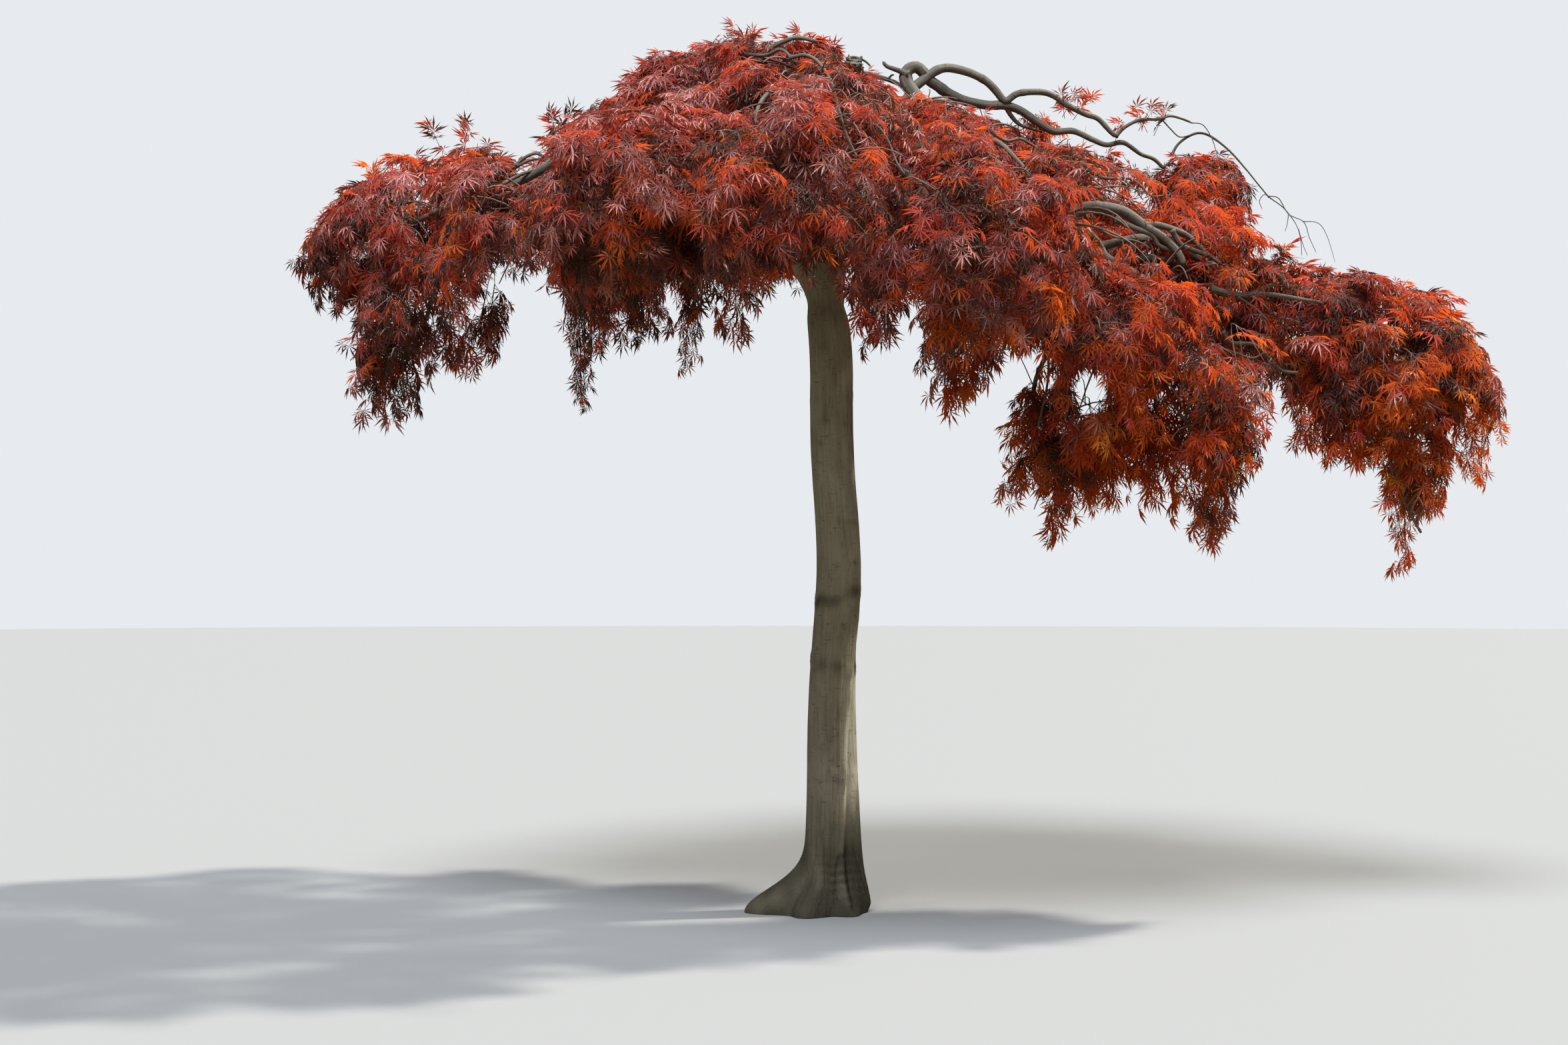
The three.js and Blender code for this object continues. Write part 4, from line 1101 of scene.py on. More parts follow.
# %% Strands that hang low
STRANDS = [  # across, height of the tip, length, depth, fullness
    (-430, 2700, 260, -900, 1), (-560, 2760, 220, -850, 1), (220, 2640, 260, -700, 1),
    (165, 2720, 200, -800, 1), (585, 2350, 330, -850, 1), (530, 2440, 300, -800, 1),
    (640, 2420, 300, -780, 1), (500, 2560, 260, -700, 1), (1700, 1750, 320, -420, 1),
    (1780, 1780, 300, -350, 1), (1620, 1860, 260, -450, 1), (1000, 1780, 260, -350, 1),
    (2190, 2200, 300, -60, 1), (2240, 2150, 320, -200, 1), (2300, 2130, 330, -100, 1),
    (2350, 2120, 320, -260, 1), (2410, 2130, 330, -60, 1), (2460, 2160, 320, -180, 1),
    (2270, 2330, 260, -330, 1), (2400, 2320, 260, -330, 1), (2520, 2220, 320, -300, 1),
    (2160, 2380, 240, 60, 1), (2330, 2260, 320, 120, 1), (2480, 2260, 320, 120, 1),
    (1250, 1960, 300, -380, 1), (1300, 1930, 320, -300, 1), (1350, 2010, 330, -420, 1),
    (1410, 1960, 330, -350, 1), (1460, 1900, 330, -420, 1), (1320, 2190, 280, -360, 1),
    (1420, 2200, 280, -300, 1), (1500, 2080, 320, -350, 1), (1200, 2060, 260, -420, 1),
    (1250, 2250, 240, -300, 1), (1375, 2330, 260, -420, 1), (-1800, 2530, 230, -250, 1),
    (-1720, 2570, 230, -300, 1), (-1640, 2550, 240, -200, 1), (-1570, 2620, 230, -250, 1),
    (1240, 2560, 200, -380, 1), (1080, 2470, 240, -420, 1), (1110, 2400, 260, -300, 1),
    (-2080, 2310, 300, -250, 1), (-1960, 2340, 300, -350, 1), (1850, 2650, 200, -180, 1),
    (1910, 2660, 190, -120, 1), (1970, 2640, 190, -160, 1), (1800, 2610, 200, -120, 1),
    (2020, 2600, 190, -80, 1), (2480, 2420, 260, -180, 1), (2560, 2400, 260, -60, 1),
    (2530, 2480, 240, 60, 1), (1880, 2730, 160, -60, 0.8), (1940, 2740, 160, -100, 0.8),
    (1900, 2560, 200, 60, 0.8), (1990, 2560, 200, 40, 0.8), (-1150, 2590, 300, -250, 0.5),
    (-1060, 2600, 300, -450, 0.6), (-1000, 2640, 260, -600, 0.6), (-930, 2640, 260, -750, 0.6),
    (-860, 2680, 260, -820, 0.6), (-780, 2700, 260, -820, 0.5), (2640, 1740, 300, -150, 0.3),
    (2700, 1820, 300, -120, 0.35), (2665, 1850, 300, -60, 0.5), (2745, 1860, 260, -180, 0.7),
    (2600, 1910, 250, -150, 0.8), (2905, 2010, 280, -100, 0.5), (2965, 1990, 280, 0, 0.4),
    (-1120, 2480, 330, -350, 0.4), (-1130, 2370, 330, -330, 0.3), (-1143, 2290, 300, -330, 0.15),
    (-612, 2540, 300, -800, 0.3), (-670, 2470, 300, -780, 0.1), (2615, 1640, 330, -150, 0.3),
    (2622, 1625, 80, -150, 0.9), (900, 2700, 250, 300, 1), (960, 2640, 260, 420, 1),
    (1040, 2620, 260, 520, 1), (1120, 2640, 260, 380, 1), (1200, 2700, 250, 480, 1),
    (1000, 2740, 240, 560, 1), (1080, 2760, 240, 300, 1), (860, 2680, 250, 480, 1),
    (1160, 2760, 240, 580, 1), (940, 2780, 240, 360, 1), (1020, 2800, 240, 460, 1),
    (820, 2780, 240, 200, 1), (880, 2840, 240, 260, 1), (780, 2820, 240, 320, 1)]


def hang_strand(across, height, length, depth, fullness, number, draw):
    """A long twig that hangs, and the short shoots along it."""
    foot = from_front(across * MM, height * MM, depth * MM)
    top = foot + UP * length * MM + draw.normal(size=3) * [0.03, 0.03, 0]
    joints = branchlets[:, 2]
    start = joints[np.linalg.norm(joints - top, axis=1).argmin()]
    twig_lines = np.array([[start, (start + top) / 2 + UP * 0.06, top], [top, (top + foot) / 2, foot]])
    count = max(2, round(length / 38))
    nodes = foot + (top - foot) * np.linspace(1, 0.12, count)[:, None]
    turn = GOLDEN_ANGLE * np.arange(count) + number
    outs = np.stack([np.cos(turn), np.sin(turn), np.zeros(count)], axis=1)
    way = unit(outs * (0.2 + 0.3 * fullness) + 0.25 * draw.normal(size=(count, 3)) * [1, 1, 0] - UP)
    size = SHOOT_LENGTH * (0.2 + 0.5 * fullness)
    return twig_lines, Shoots(
        nodes, nodes + way * 0.5 * size + outs * 0.02, nodes + way * size, outs, np.full(count, -0.8),
        np.full(count, -1), np.zeros(count, bool), np.full(count, SPRAY_NUMBERS["strand"] + number))


# %% Sprays that cover stretches of the upper edge
COVERED = [((40, 800), 46, 0), ((-920, -480), 26, 100)]  # stretch across, sprays, their first number


def cover_edge(span, count, number, draw):
    """Sprays along a stretch of the upper edge of the leaves."""
    across = span[0] + (span[1] - span[0]) * (np.arange(count) + draw.random(count)) / count
    height = np.interp(across * MM, *roof_edge) - (15 + 120 * draw.random(count)) * MM
    nodes = from_front(across * MM, height, (60 - 220 * draw.random(count)) * MM)
    outs = unit(np.stack([0.5 * draw.normal(size=count), -np.ones(count), np.zeros(count)], axis=1))
    hangs = unit(outs - UP * (0.3 + 0.5 * draw.random((count, 1))))
    sizes = SHOOT_LENGTH * (0.5 + 0.3 * draw.random(count))
    joints = branchlets[:, 2]
    starts = joints[np.linalg.norm(nodes[:, None] - joints[None], axis=2).argmin(axis=1)]
    twig_lines = np.stack([starts, (starts + nodes) / 2, nodes], axis=1)
    first = SPRAY_NUMBERS["edge"] + number
    return twig_lines, make_sprays(nodes, hangs, outs, sizes, 0.5, -1, False, first, draw)


# %% Sprigs that stand up
SPRIGS = [  # across and height of the tip, lean across, depth
    (-1850, 3590, -60, -100), (-1660, 3590, 20, -100), (-1560, 3500, 70, -60), (-1290, 3635, -40, 0),
    (-1190, 3645, 60, 0), (-450, 4040, -90, 0), (-350, 4020, 40, -40), (-150, 4025, -40, 0),
    (1130, 3735, 70, 240), (1200, 3722, 90, 240), (1060, 3730, -10, 240), (1390, 3665, -60, 290),
    (1470, 3672, 60, 290), (1540, 3650, 60, 300), (1320, 3600, 20, 270), (1900, 3465, 60, 350),
    (1985, 3425, 90, 350), (1975, 3335, 90, 358), (1170, 3585, 20, 200), (900, 3655, 20, 220),
    (2100, 3045, 60, 0), (-2120, 3385, -60, -250)]


def stand_sprig(across, height, lean, depth, number, draw):
    """A single short shoot that stands up from the limb or the leaves under it."""
    tip = from_front(across * MM, height * MM, depth * MM)[None]
    start = from_front((across - lean) * MM, (height - 110) * MM, depth * MM)[None]
    out = unit(tip - start)
    return np.zeros((0, 3, 3)), Shoots(
        start, (start + tip) / 2 + UP * 0.02, tip, out, np.array([1.2]), np.array([-1]),
        np.zeros(1, bool), np.array([SPRAY_NUMBERS["sprig"] + number]))


extra += [cover_edge(*values, draw) for values in COVERED]
extra += [hang_strand(*values, number, draw) for number, values in enumerate(STRANDS)]
extra += [stand_sprig(*values, number, draw) for number, values in enumerate(SPRIGS)]
print("strands:", len(STRANDS), "sprigs:", len(SPRIGS))

# %% [markdown]
# A rule that grows leaves everywhere would bury the bare limbs, so what would hide one from the
# front is left out again. The sun comes from the right and reaches the foot of the trunk through a
# gap under the foliage. That beam is kept free too.

# %% Keep the bare limbs and the sunbeam free
CLEARED = 0.93
SUN_WAY = (12, 50)  # azimuth and elevation the sun shines from, in degrees
SUNBEAM = {"aside": -85, "half_width": 105, "from": 330, "to": 1160}


def in_sunbeam(points):
    """True in the beam of sun that reaches the foot of the trunk."""
    azimuth, elevation = SUN_WAY
    forth, aside = outward(azimuth), outward(azimuth + 90)
    arrival = points[:, 2] - points @ forth * math.tan(math.radians(elevation))
    beside = np.abs(points @ aside - SUNBEAM["aside"] * MM) < SUNBEAM["half_width"] * MM
    return beside & (arrival > SUNBEAM["from"] * MM) & (arrival < SUNBEAM["to"] * MM)


def hides_bare_limb(points, draw):
    """True for most points that lie in front of a limb which shows bare."""
    seen = front_view(points)
    hidden = np.zeros(len(points), bool)
    reaches = [(1.2 * row.girth + 24) * MM for row in BARE_LIMBS]
    spots = [
        (line[min(len(line) // 6, 5)::2], reach)
        for row, line, reach in zip(BARE_LIMBS, bare_lines, reaches) if "roof_wood" not in row.name]
    for line, reach in spots + [(knob_place[None], 1.1 * KNOB["size"] * MM)]:
        shown = front_view(line)
        box = (seen > shown.min(axis=0) - reach).all(axis=1) & (seen < shown.max(axis=0) + reach).all(axis=1)
        near = np.flatnonzero(box & (points[:, 1] < line[:, 1].max()))
        away = np.linalg.norm(seen[near, None] - shown[None], axis=2).min(axis=1)
        hidden[near] |= away < reach
    return hidden & (draw.random(len(points)) < CLEARED)


twig_lines = np.concatenate([mass.twigs for mass in grown])
ends = twig_lines[:, 2]
outside = above_roof(ends, -0.02) | below_foot(ends, -0.04) | in_gap(ends, -0.02)
twig_lines = np.concatenate([twig_lines[~outside]] + [twigs for twigs, _ in extra])

every = [mass.shoots for mass in grown] + [made for _, made in extra]
shoots = Shoots(*[np.concatenate(parts) for parts in zip(*every)])
bare = hides_bare_limb(shoots.bend, draw) | hides_bare_limb(shoots.start, draw)
stray = above_roof(shoots.tip, -0.07) | below_foot(shoots.tip, -0.12)
dropped = (bare | stray) & (shoots.mass >= 0) | in_sunbeam(shoots.tip)
shoots = Shoots(*[part[~dropped] for part in shoots])
twig_lines = twig_lines[~hides_bare_limb(twig_lines[:, 2], draw)]
print("shoots:", len(shoots.tip), "of which inner ones:", int(shoots.inner.sum()))

# %% [markdown]
# ## Twigs as one mesh
# There are thousands of twigs, so they aren't modelled one by one. A pattern of rings is copied
# along all the lines at once with arrays, and the copies are joined as one mesh. Three sides are
# enough for a twig that is a few millimetres thick. Stems get eight and branchlets five.

# %% A piece from arrays
def mesh_from_arrays(name, points, faces, material, smooth=False):
    """A piece from an array of points and an array of triangles."""
    mesh = bpy.data.meshes.new(name)
    mesh.vertices.add(len(points))
    mesh.vertices.foreach_set("co", points.astype(np.float32).ravel())
    mesh.loops.add(faces.size)
    mesh.loops.foreach_set("vertex_index", faces.astype(np.int32).ravel())
    mesh.polygons.add(len(faces))
    mesh.polygons.foreach_set("loop_start", np.arange(0, faces.size, 3, dtype=np.int32))
    mesh.update(calc_edges=True)
    mesh.validate()
    if smooth:
        mesh.shade_smooth()
    mesh.materials.append(material)
    piece = add_object(name, mesh)
    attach(piece, "root")
    print(f"{name}: {len(faces)} triangles")
    return piece


# %% Tubes along many lines at once
def tube_arrays(points, radii, sides):
    """Closed tubes along many lines at once. points is lines x rings x 3 and radii lines x rings."""
    count, rings = radii.shape
    along = unit(np.gradient(points, axis=1))
    steady = np.where(np.abs(along[:, :1, 2:]) > 0.8, [[[1.0, 0, 0]]], UP)
    side = unit(np.cross(along, np.broadcast_to(steady, along.shape)))
    cross = np.cross(along, side)
    turn = 2 * math.pi * np.arange(sides) / sides
    ring = side[:, :, None] * np.cos(turn)[:, None] + cross[:, :, None] * np.sin(turn)[:, None]
    verts = points[:, :, None] + ring * radii[:, :, None, None]
    steps = np.cumsum(np.linalg.norm(np.diff(points, axis=1, prepend=points[:, :1]), axis=2), axis=1)
    grain = np.empty_like(verts)
    grain[..., 0] = np.cos(turn) * radii[..., None]
    grain[..., 1] = np.sin(turn) * radii[..., None]
    grain[..., 2] = steps[..., None] + np.arange(count)[:, None, None] * 0.37
    faces = []
    for r in range(rings - 1):
        for k in range(sides):
            a, b = r * sides + k, r * sides + (k + 1) % sides
            faces += [(a, b, b + sides), (a, b + sides, a + sides)]
    last = (rings - 1) * sides
    faces += [(0, k + 1, k) for k in range(1, sides - 1)]
    faces += [(last, last + k, last + k + 1) for k in range(1, sides - 1)]
    whole = np.array(faces)[None] + (np.arange(count) * rings * sides)[:, None, None]
    return verts.reshape(-1, 3), whole.reshape(-1, 3), grain.reshape(-1, 3)


def curve_points(controls, rings):
    """Points along many three-point arches at once. controls is lines x 3 x 3."""
    share = np.linspace(0, 1, rings)[None, :, None]
    start, bend, tip = (controls[:, None, i] for i in range(3))
    return start * (1 - share) ** 2 + bend * 2 * share * (1 - share) + tip * share**2


def twig_radii(first, last, rings):
    """Radii that taper from first to last. Each may be a number for all lines or one for each."""
    share = np.linspace(0, 1, rings)
    first, last = np.atleast_1d(first)[:, None], np.atleast_1d(last)[:, None]
    return first + (last - first) * share


# %% Join all twigs
def join_arrays(parts):
    """Several (points, faces, grain) sets as one."""
    shift = np.cumsum([0] + [len(p[0]) for p in parts[:-1]])
    points, faces, grain = zip(*parts)
    faces = [face + number for face, number in zip(faces, shift)]
    return np.concatenate(points), np.concatenate(faces), np.concatenate(grain)


def taper(controls, first, last, rings, sides):
    """Tubes along three-point arches. Radii may be one number, or one for each arch."""
    radii = np.broadcast_to(twig_radii(first, last, rings), (len(controls), rings))
    return tube_arrays(curve_points(controls, rings), radii, sides)


stems = np.array([mass.stem for mass in grown])
tip_girth = np.array([row.tip for row in carriers]) * MM
shoot_lines = np.stack([shoots.start, shoots.bend, shoots.tip], axis=1)
points, faces, grain = join_arrays([
    taper(stems, tip_girth, 0.006, 12, 8),
    taper(branchlets, 0.0065, 0.0022, 9, 5),
    taper(twig_lines, 0.003, 0.0018, 5, 3),
    taper(shoot_lines, 0.0017, 0.0008, 3, 3),
])
twigs = mesh_from_arrays("twigs", points, faces, TWIG_BARK, smooth=True)
layer = twigs.data.attributes.new("grain", "FLOAT_VECTOR", "POINT")
layer.data.foreach_set("vector", grain.astype(np.float32).ravel())
foliage_nodes = [
    row.name.replace("limb_", "foliage_").replace("bough_", "foliage_upper_") for row in carriers]
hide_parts(*foliage_nodes)

# %% [markdown]
# ## Leaves
# A laceleaf has seven narrow lobes that spread like fingers and are cut again along their edges.
# The blade hangs from its stalk and each lobe droops to its point. One lobe is a kite that is
# folded along its midrib, and the three middle ones have teeth too. Four leaves that differ a
# little are drawn, and arrays copy them to every shoot in pairs. A leaf has 18 triangles, so a
# million of them is enough for the whole crown. See-through cards would be lighter, but they show
# as flat sheets from the side.

# %% Draw the four leaves
LOBES = [(-108, 0.5), (-70, 0.76), (-34, 0.94), (0, 1.0), (34, 0.94), (70, 0.76), (108, 0.5)]
LOBE_WIDTH = 0.056
LOBE_FOLD = 0.02
TOOTH = {"from": 0.36, "to": 0.5, "out": 0.14, "reach": 0.76}


def leaf_pattern(seed):
    """Points and triangles of a leaf that is 1 long. +Y runs to its point and +Z is its upper face."""
    draw = np.random.default_rng(seed)
    points, faces = [], []
    droop = 0.28 + 0.22 * draw.random()
    for angle, reach in LOBES:
        turn = math.radians(angle + 8 * (draw.random() - 0.5))
        reach = reach * (0.9 + 0.2 * draw.random())
        ahead = np.array([math.sin(turn), math.cos(turn), 0.0])
        aside = np.array([math.cos(turn), -math.sin(turn), 0.0])
        bend = droop * (0.7 + 0.6 * draw.random())

        def at(share, off, lift=0.0):
            flat = ahead * share * reach + aside * off * reach
            return flat + UP * (lift - bend * (share * reach) ** 2)

        first = len(points)
        middle = 0.42 + 0.1 * draw.random()
        width = LOBE_WIDTH * (0.85 + 0.3 * draw.random())
        points += [at(0, 0), at(middle, width, LOBE_FOLD), at(1, 0), at(middle, -width, LOBE_FOLD)]
        faces += [(first, first + 1, first + 2), (first, first + 2, first + 3)]
        if abs(angle) < 50:
            for sign in ((1, -1) if angle == 0 else (math.copysign(1, angle),)):
                base = len(points)
                inner = 0.8 * width * sign
                points += [
                    at(TOOTH["from"], 0.5 * inner, 0.01),
                    at(TOOTH["reach"], TOOTH["out"] * sign, -0.01),
                    at(TOOTH["to"], inner, 0.015)]
                faces += [(base, base + 1, base + 2)] if sign > 0 else [(base, base + 2, base + 1)]
    faces = [(a, c, b) for a, b, c in faces]
    return np.array(points), np.array(faces)


LEAVES = [leaf_pattern(seed) for seed in (1, 2, 3, 4)]
print("triangles in a leaf:", [len(faces) for _, faces in LEAVES])

# %% [markdown]
# The colour of this foliage has a place, and most of that place is painted light and shade.
# Maroon paints shade inside the crown, at the foot of the masses on the left and at the far right
# end. On top of each mass a pale rose paints the sky's reflection on the wine red leaves, whose
# shader adds a dusky bloom. Scarlet on the right paints the sun that shines through, and russet and
# orange paint that glow low down. Each spray is dealt one of seven plain tints by where it is, and
# now and then a pair of its leaves gets another one. A little of the light passes through a thin
# blade, so its shader is part gloss and part translucent.

# %% Leaf materials
# Wine and crimson are the leaves' own reds. Maroon is painted shade, rose a painted reflection of the sky,
# and scarlet, russet and amber a painted glow of sun through the blade.
TINTS = {  # front colour, colour of the light that comes through, the share of it, and the bloom
    "maroon": ((0.058, 0.022, 0.017), (0.17, 0.042, 0.014), 0.2, 0.1),
    "wine": ((0.18, 0.045, 0.04), (0.5, 0.06, 0.025), 0.28, 0.2),
    "rose": ((0.44, 0.19, 0.175), (0.6, 0.09, 0.05), 0.22, 0.2),
    "crimson": ((0.34, 0.052, 0.034), (0.75, 0.08, 0.025), 0.33, 0.05),
    "scarlet": ((0.41, 0.07, 0.026), (0.85, 0.12, 0.015), 0.42, 0.0),
    "russet": ((0.38, 0.088, 0.02), (0.9, 0.17, 0.018), 0.48, 0.0),
    "amber": ((0.5, 0.17, 0.028), (0.9, 0.31, 0.028), 0.48, 0.0),
}


def leaf_material(name, front, through, share, bloom):
    """A plain leaf colour with a dusky bloom, and a share of light that comes through."""
    material = bpy.data.materials.new(name)
    material.use_nodes = True
    tree = material.node_tree
    shader = tree.nodes["Principled BSDF"]
    shader.inputs["Base Color"].default_value = (*front, 1)
    shader.inputs["Roughness"].default_value = 0.45
    shader.inputs["Specular IOR Level"].default_value = 0.1 + 1.5 * bloom
    shader.inputs["Sheen Weight"].default_value = bloom
    shader.inputs["Sheen Tint"].default_value = (0.9, 0.75, 0.78, 1)
    glow = add_node(tree, "ShaderNodeBsdfTranslucent", {"Color": (*through, 1)})
    both = add_node(tree, "ShaderNodeMixShader", {"Fac": share})
    tree.links.new(shader.outputs["BSDF"], both.inputs[1])
    tree.links.new(glow.outputs["BSDF"], both.inputs[2])
    tree.links.new(both.outputs["Shader"], tree.nodes["Material Output"].inputs["Surface"])
    return material


LEAF_MATERIALS = {name: leaf_material("leaf_" + name, *values) for name, values in TINTS.items()}

# %% How likely each tint is
def rising(values, start, length):
    """0 up to a start, then evenly up to 1 within a length."""
    return np.clip((values - start) / length, 0, 1)


def tint_weights(group):
    """How likely each tint is, by where a shoot is in the tree and in its mass, which paints its light and
    shade.
    """
    x, z = group.tip[:, 0], group.tip[:, 2]
    right = rising(x, -0.6, 2.6)
    left = 1 - right
    far_end = rising(x, 1.4, 0.6)
    top, foot = np.clip(group.level, 0, 1), np.clip(-group.level, 0, 1)
    low = rising(-z, -2.7, 0.6) * np.clip(x * 3, 0, 1)
    tails = rising(-z, -2.3, 0.35) * rising(np.abs(x - 1.9), 0.35, 0.2) * low
    inside = group.inner * (1 - 0.5 * right)
    # Painted light and shade: maroon where shade falls inside, at the foot and at the far end; rose on the
    # tops for the sky's reflection; scarlet, russet and amber on the right, low down and on the tails for the
    # sun's glow.
    weights = {
        "maroon": (
            0.7 + 1.9 * foot * left - 0.3 * right + 3 * inside - 0.5 * low + 0.8 * far_end - 0.8 * tails),
        "wine": 1.0 - 0.7 * right + 0.6 * foot * left + 0.9 * far_end * (1 - low) - tails,
        "rose": 0.5 + 1.3 * top - (0.5 + 0.9 * top) * right,
        "crimson": 1.1 + 0.4 * top - 0.4 * low - 0.3 * far_end,
        "scarlet": 0.3 + 1.2 * right + 0.6 * low - 0.8 * far_end,
        "russet": 0.15 + 0.2 * foot + 1.5 * low + 0.1 * far_end + 0.9 * tails,
        "amber": 0.08 * low + 0.3 * tails,
    }
    return np.stack([weights[name] for name in TINTS], axis=1).clip(0).cumsum(axis=1)


def pick_tint(weights, chance):
    """The number of the tint in whose share a chance falls."""
    return (chance[:, None] * weights[:, -1:] > weights).sum(axis=1)


# %% Deal a tint to each spray, and now and then another one to a pair of its leaves
PAIRS = 4
OWN_TINT = 0.55
draw = np.random.default_rng(77)
weights = tint_weights(shoots)
sprays = np.unique(shoots.spray, return_inverse=True)[1]
spray_tint = pick_tint(weights, draw.random(sprays.max() + 1)[sprays])
chance = draw.random(len(weights) * PAIRS)
pair_tint = pick_tint(np.repeat(weights, PAIRS, axis=0), chance).reshape(-1, PAIRS)
pair_tint = np.where(draw.random(pair_tint.shape) < OWN_TINT, spray_tint[:, None], pair_tint)
counts = np.bincount(pair_tint.ravel(), minlength=len(TINTS))
print("pairs of each tint:", dict(zip(TINTS, counts.tolist())))

# %% Place the leaves
LEAF_LENGTH = 0.07
STALK = 0.022


def leafiness(spray):
    """1 for most shoots, and less on the strands that are thin."""
    fullness = np.array([row[4] for row in STRANDS])
    number = spray - SPRAY_NUMBERS["strand"]
    on_strand = (number >= 0) & (number < len(STRANDS))
    return np.where(on_strand, fullness[number.clip(0, len(STRANDS) - 1)], 1.0)


def place_leaves(group, seed):
    """Where the leaves are, where they point and how long they are, in arrays of shoots x leaves.

    Pairs sit along a shoot from 0.22 of it to its tip, one leaf to each side. Towards the tip they
    point ahead, and on a shoot at the foot of a mass they hang.
    """
    draw = np.random.default_rng(seed)
    count = len(group.tip)
    share = 0.22 + 0.76 * (np.arange(PAIRS) + draw.random((count, PAIRS)) * 0.7) / (PAIRS - 0.3)
    share = np.repeat(share, 2, axis=1)
    sign = np.tile([1.0, -1.0], (count, PAIRS))[..., None]
    t = share[..., None]
    start, bend, tip = (part[:, None] for part in (group.start, group.bend, group.tip))
    place = start * (1 - t) ** 2 + bend * 2 * t * (1 - t) + tip * t**2
    along = unit((bend - start) * (1 - t) + (tip - bend) * t)
    out = np.broadcast_to(group.out[:, None], along.shape)
    aside = unit(np.cross(along, unit(UP * 0.8 + 0.6 * out)))
    spread = 1.3 - 0.7 * t
    stalk = unit(0.4 * along + sign * aside * spread + 0.3 * draw.normal(size=along.shape))
    base = place + stalk * STALK
    drop = np.clip(0.45 - 0.4 * group.level, 0.0, 0.9)[:, None, None]
    ahead = unit(0.45 * along + 0.7 * stalk + 0.15 * out - UP * drop + 0.3 * draw.normal(size=along.shape))
    face = UP * 0.8 + 0.5 * out + 0.35 * draw.normal(size=along.shape)
    face = unit(face - ahead * (face * ahead).sum(axis=-1, keepdims=True))
    length = LEAF_LENGTH * (0.7 + 0.5 * draw.random(share.shape)) * (1.1 - 0.2 * share)
    length = length * (0.6 + 0.4 * leafiness(group.spray))[:, None]
    return place, base, ahead, face, length, draw.integers(0, len(LEAVES), share.shape)


def leaf_arrays(base, ahead, face, length, kind):
    """Many leaves as one set of points and triangles."""
    turn = np.stack([np.cross(ahead, face), ahead, face], axis=1) * length[:, None, None]
    points, faces, shift = [], [], 0
    for number, (pattern, triangles) in enumerate(LEAVES):
        chosen = kind == number
        made = np.einsum("pi,nij->npj", pattern, turn[chosen]) + base[chosen][:, None]
        points.append(made.reshape(-1, 3))
        start = shift + np.arange(chosen.sum()) * len(pattern)
        faces.append((triangles[None] + start[:, None, None]).reshape(-1, 3))
        shift += made.shape[0] * made.shape[1]
    return np.concatenate(points), np.concatenate(faces)


# %% Thin out the leaves and join them by tint
LARGEST_PIECE = 190000
leaf_parts = [np.reshape(part, (-1, *part.shape[2:])) for part in place_leaves(shoots, 40)]
leaf_tint = np.repeat(pair_tint, 2, axis=1).ravel()
_, leaf_base, leaf_ahead, _, leaf_length, _ = leaf_parts
leaf_middles = leaf_base + leaf_ahead * leaf_length[:, None] * 0.5
ragged = 0.06 * (draw.random(len(leaf_middles)) - 0.7)
shown = ~(hides_bare_limb(leaf_middles, draw) | in_gap(leaf_middles, ragged) | in_sunbeam(leaf_middles))
shown &= draw.random(len(shown)) < 0.25 + 0.75 * np.repeat(leafiness(shoots.spray), 2 * PAIRS)
leaf_tint = leaf_tint[shown]
leaf_foot, *leaf_places = [part[shown] for part in leaf_parts]
for number, name in enumerate(TINTS):
    chosen = [part[leaf_tint == number] for part in leaf_places]
    pieces = math.ceil(len(chosen[0]) * len(LEAVES[0][1]) / LARGEST_PIECE)
    for piece, part in enumerate(np.array_split(np.arange(len(chosen[0])), pieces)):
        points, faces = leaf_arrays(*[values[part] for values in chosen])
        leaves = mesh_from_arrays(f"leaves_{name}_{piece + 1}", points, faces, LEAF_MATERIALS[name])
        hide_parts(*foliage_nodes)
print("leaves:", len(leaf_tint), "with triangles:", len(leaf_tint) * len(LEAVES[0][1]))

# %% [markdown]
# ## Stalks
# A leaf hangs on a thin red stalk. At this size one narrow triangle is enough for it.

# %% Stalks from arrays
STALK_WIDTH = 0.0011
leaf_base = leaf_places[0]
aside = unit(np.cross(leaf_base - leaf_foot, UP)) * STALK_WIDTH
points = np.stack([leaf_foot - aside, leaf_foot + aside, leaf_base], axis=1).reshape(-1, 3)
faces = np.arange(len(points)).reshape(-1, 3)
stalks = mesh_from_arrays("leaf_stalks", points, faces, LEAF_MATERIALS["crimson"])
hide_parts(*foliage_nodes)

# %% [markdown]
# ## The studio
# The tree stands on a plain pale floor. A small warm sun comes from the upper right and a little
# from behind, so that the edges glow and the leaves let it through. A wide cool light from the
# front left and a dim pale sky fill the shade. The camera sees the floor and the sky a little
# paler than the leaves do, as a pale floor would light them from below much more than a lawn. It
# stands at eye height, nine and a half metres away, and looks up by less than two degrees.

# %% The floor
FLOOR_RADIUS = 60


def seen_apart(tree, bounced, seen, output):
    """One shader for the light that bounces about, and another for what the camera sees."""
    sight = add_node(tree, "ShaderNodeLightPath")
    both = add_node(tree, "ShaderNodeMixShader")
    tree.links.new(sight.outputs["Is Camera Ray"], both.inputs["Fac"])
    tree.links.new(bounced.outputs[0], both.inputs[1])
    tree.links.new(seen.outputs[0], both.inputs[2])
    tree.links.new(both.outputs["Shader"], tree.nodes[output].inputs["Surface"])


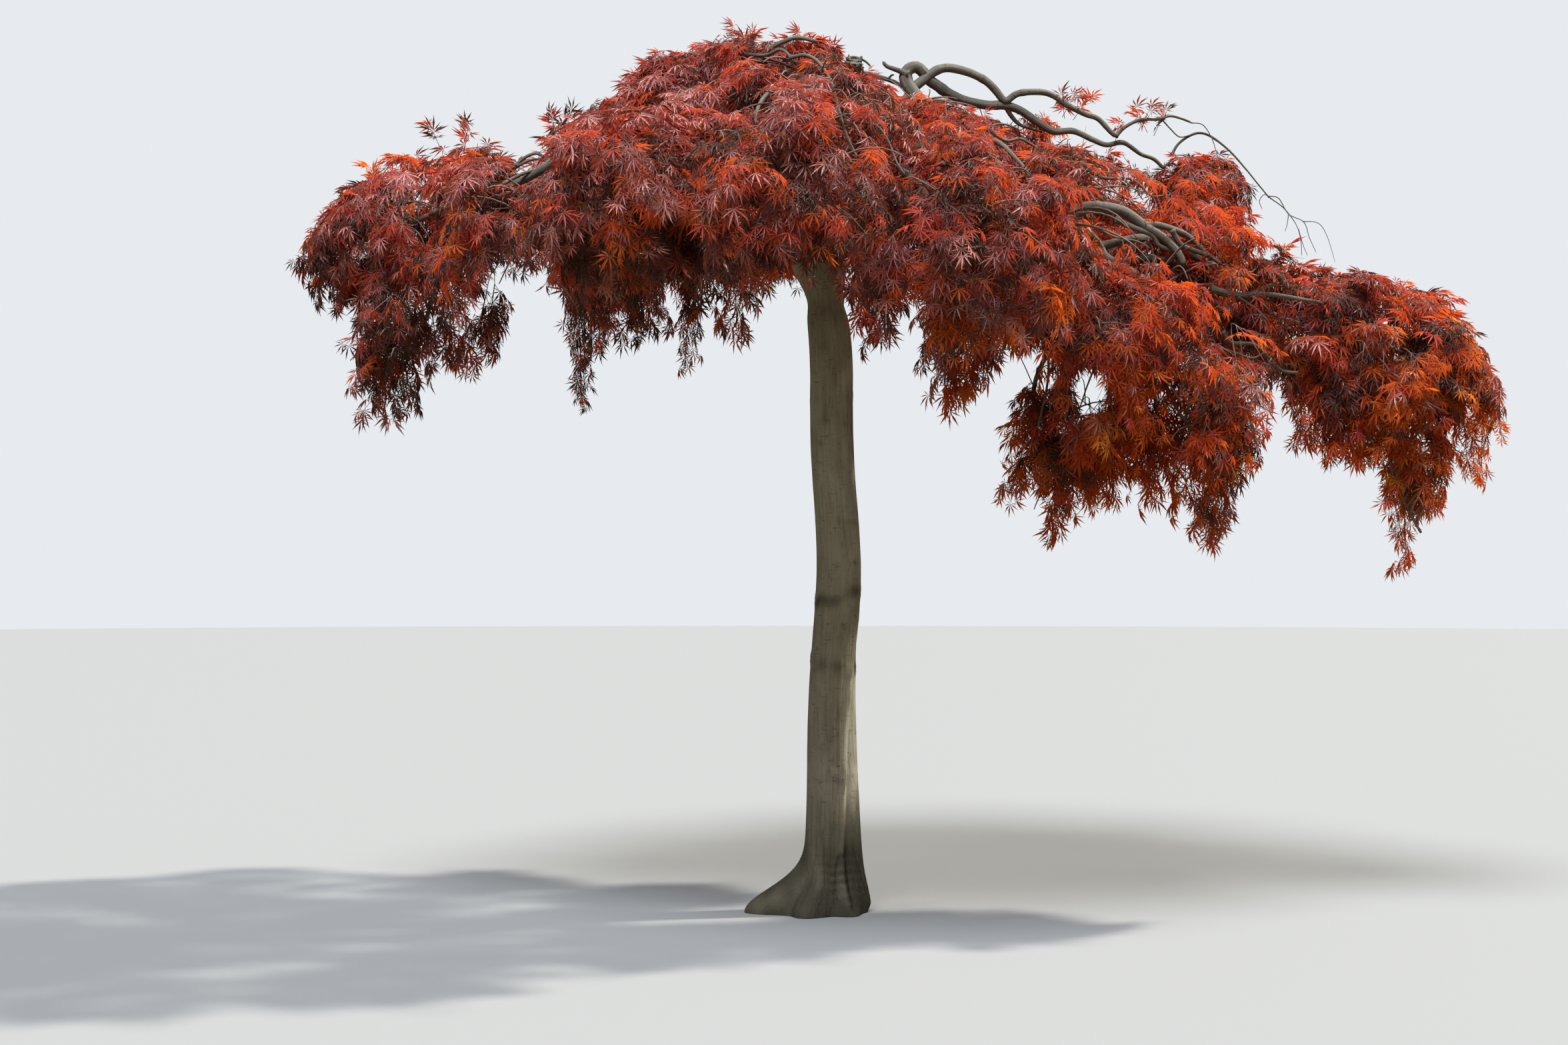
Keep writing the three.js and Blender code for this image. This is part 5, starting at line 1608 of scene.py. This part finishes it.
bm = bmesh.new()
bmesh.ops.create_circle(bm, cap_ends=True, segments=96, radius=FLOOR_RADIUS)
floor_mesh = bpy.data.meshes.new("floor")
bm.to_mesh(floor_mesh)
bm.free()
floor = add_object("floor", floor_mesh)
floor_material = bpy.data.materials.new("pale_floor")
floor_material.use_nodes = True
tree = floor_material.node_tree
pale = tree.nodes["Principled BSDF"]
pale.inputs["Base Color"].default_value = (0.2, 0.21, 0.215, 1)
pale.inputs["Roughness"].default_value = 0.9
dull = add_node(tree, "ShaderNodeBsdfDiffuse", {"Color": (0.17, 0.165, 0.11, 1)})
seen_apart(tree, dull, pale, "Material Output")
floor_mesh.materials.append(floor_material)


# %% Two suns and a pale sky
SUN_DISTANCE = 12


def add_sun(name, azimuth, elevation, strength, softness, colour):
    """A soft sun that shines from an azimuth and an elevation, in degrees."""
    light = bpy.data.lights.new(name, "SUN")
    light.energy = strength
    light.angle = math.radians(softness)
    light.color = colour
    lamp = add_object(name, light)
    tilt = math.radians(elevation)
    from_way = Vector(outward(azimuth) * math.cos(tilt) + UP * math.sin(tilt))
    lamp.rotation_euler = from_way.to_track_quat("Z", "Y").to_euler()
    lamp.location = from_way * SUN_DISTANCE


add_sun("key_sun", *SUN_WAY, 6.2, 3, (1.0, 0.93, 0.82))
add_sun("sky_light", 252, 58, 6.4, 28, (0.96, 0.97, 1.0))

world = bpy.data.worlds.new("pale_sky")
world.use_nodes = True
tree = world.node_tree
lighting = tree.nodes["Background"]
lighting.inputs["Color"].default_value = (0.86, 0.9, 0.95, 1)
lighting.inputs["Strength"].default_value = 0.24
backdrop = add_node(tree, "ShaderNodeBackground", {"Color": (0.8, 0.83, 0.86, 1), "Strength": 1.0})
seen_apart(tree, lighting, backdrop, "World Output")
bpy.context.scene.world = world

# %% The camera
CAMERA_LENS = 47.83
CAMERA_PITCH = 91.6

camera_data = bpy.data.cameras.new("camera")
camera_data.lens = CAMERA_LENS
camera_data.sensor_width = 36
camera = add_object("camera", camera_data)
camera.location = EYE
camera.rotation_euler = (math.radians(CAMERA_PITCH), 0, 0)
bpy.context.scene.camera = camera
bpy.context.scene.view_settings.view_transform = "Standard"
print("camera at", [round(v, 3) for v in camera.location])
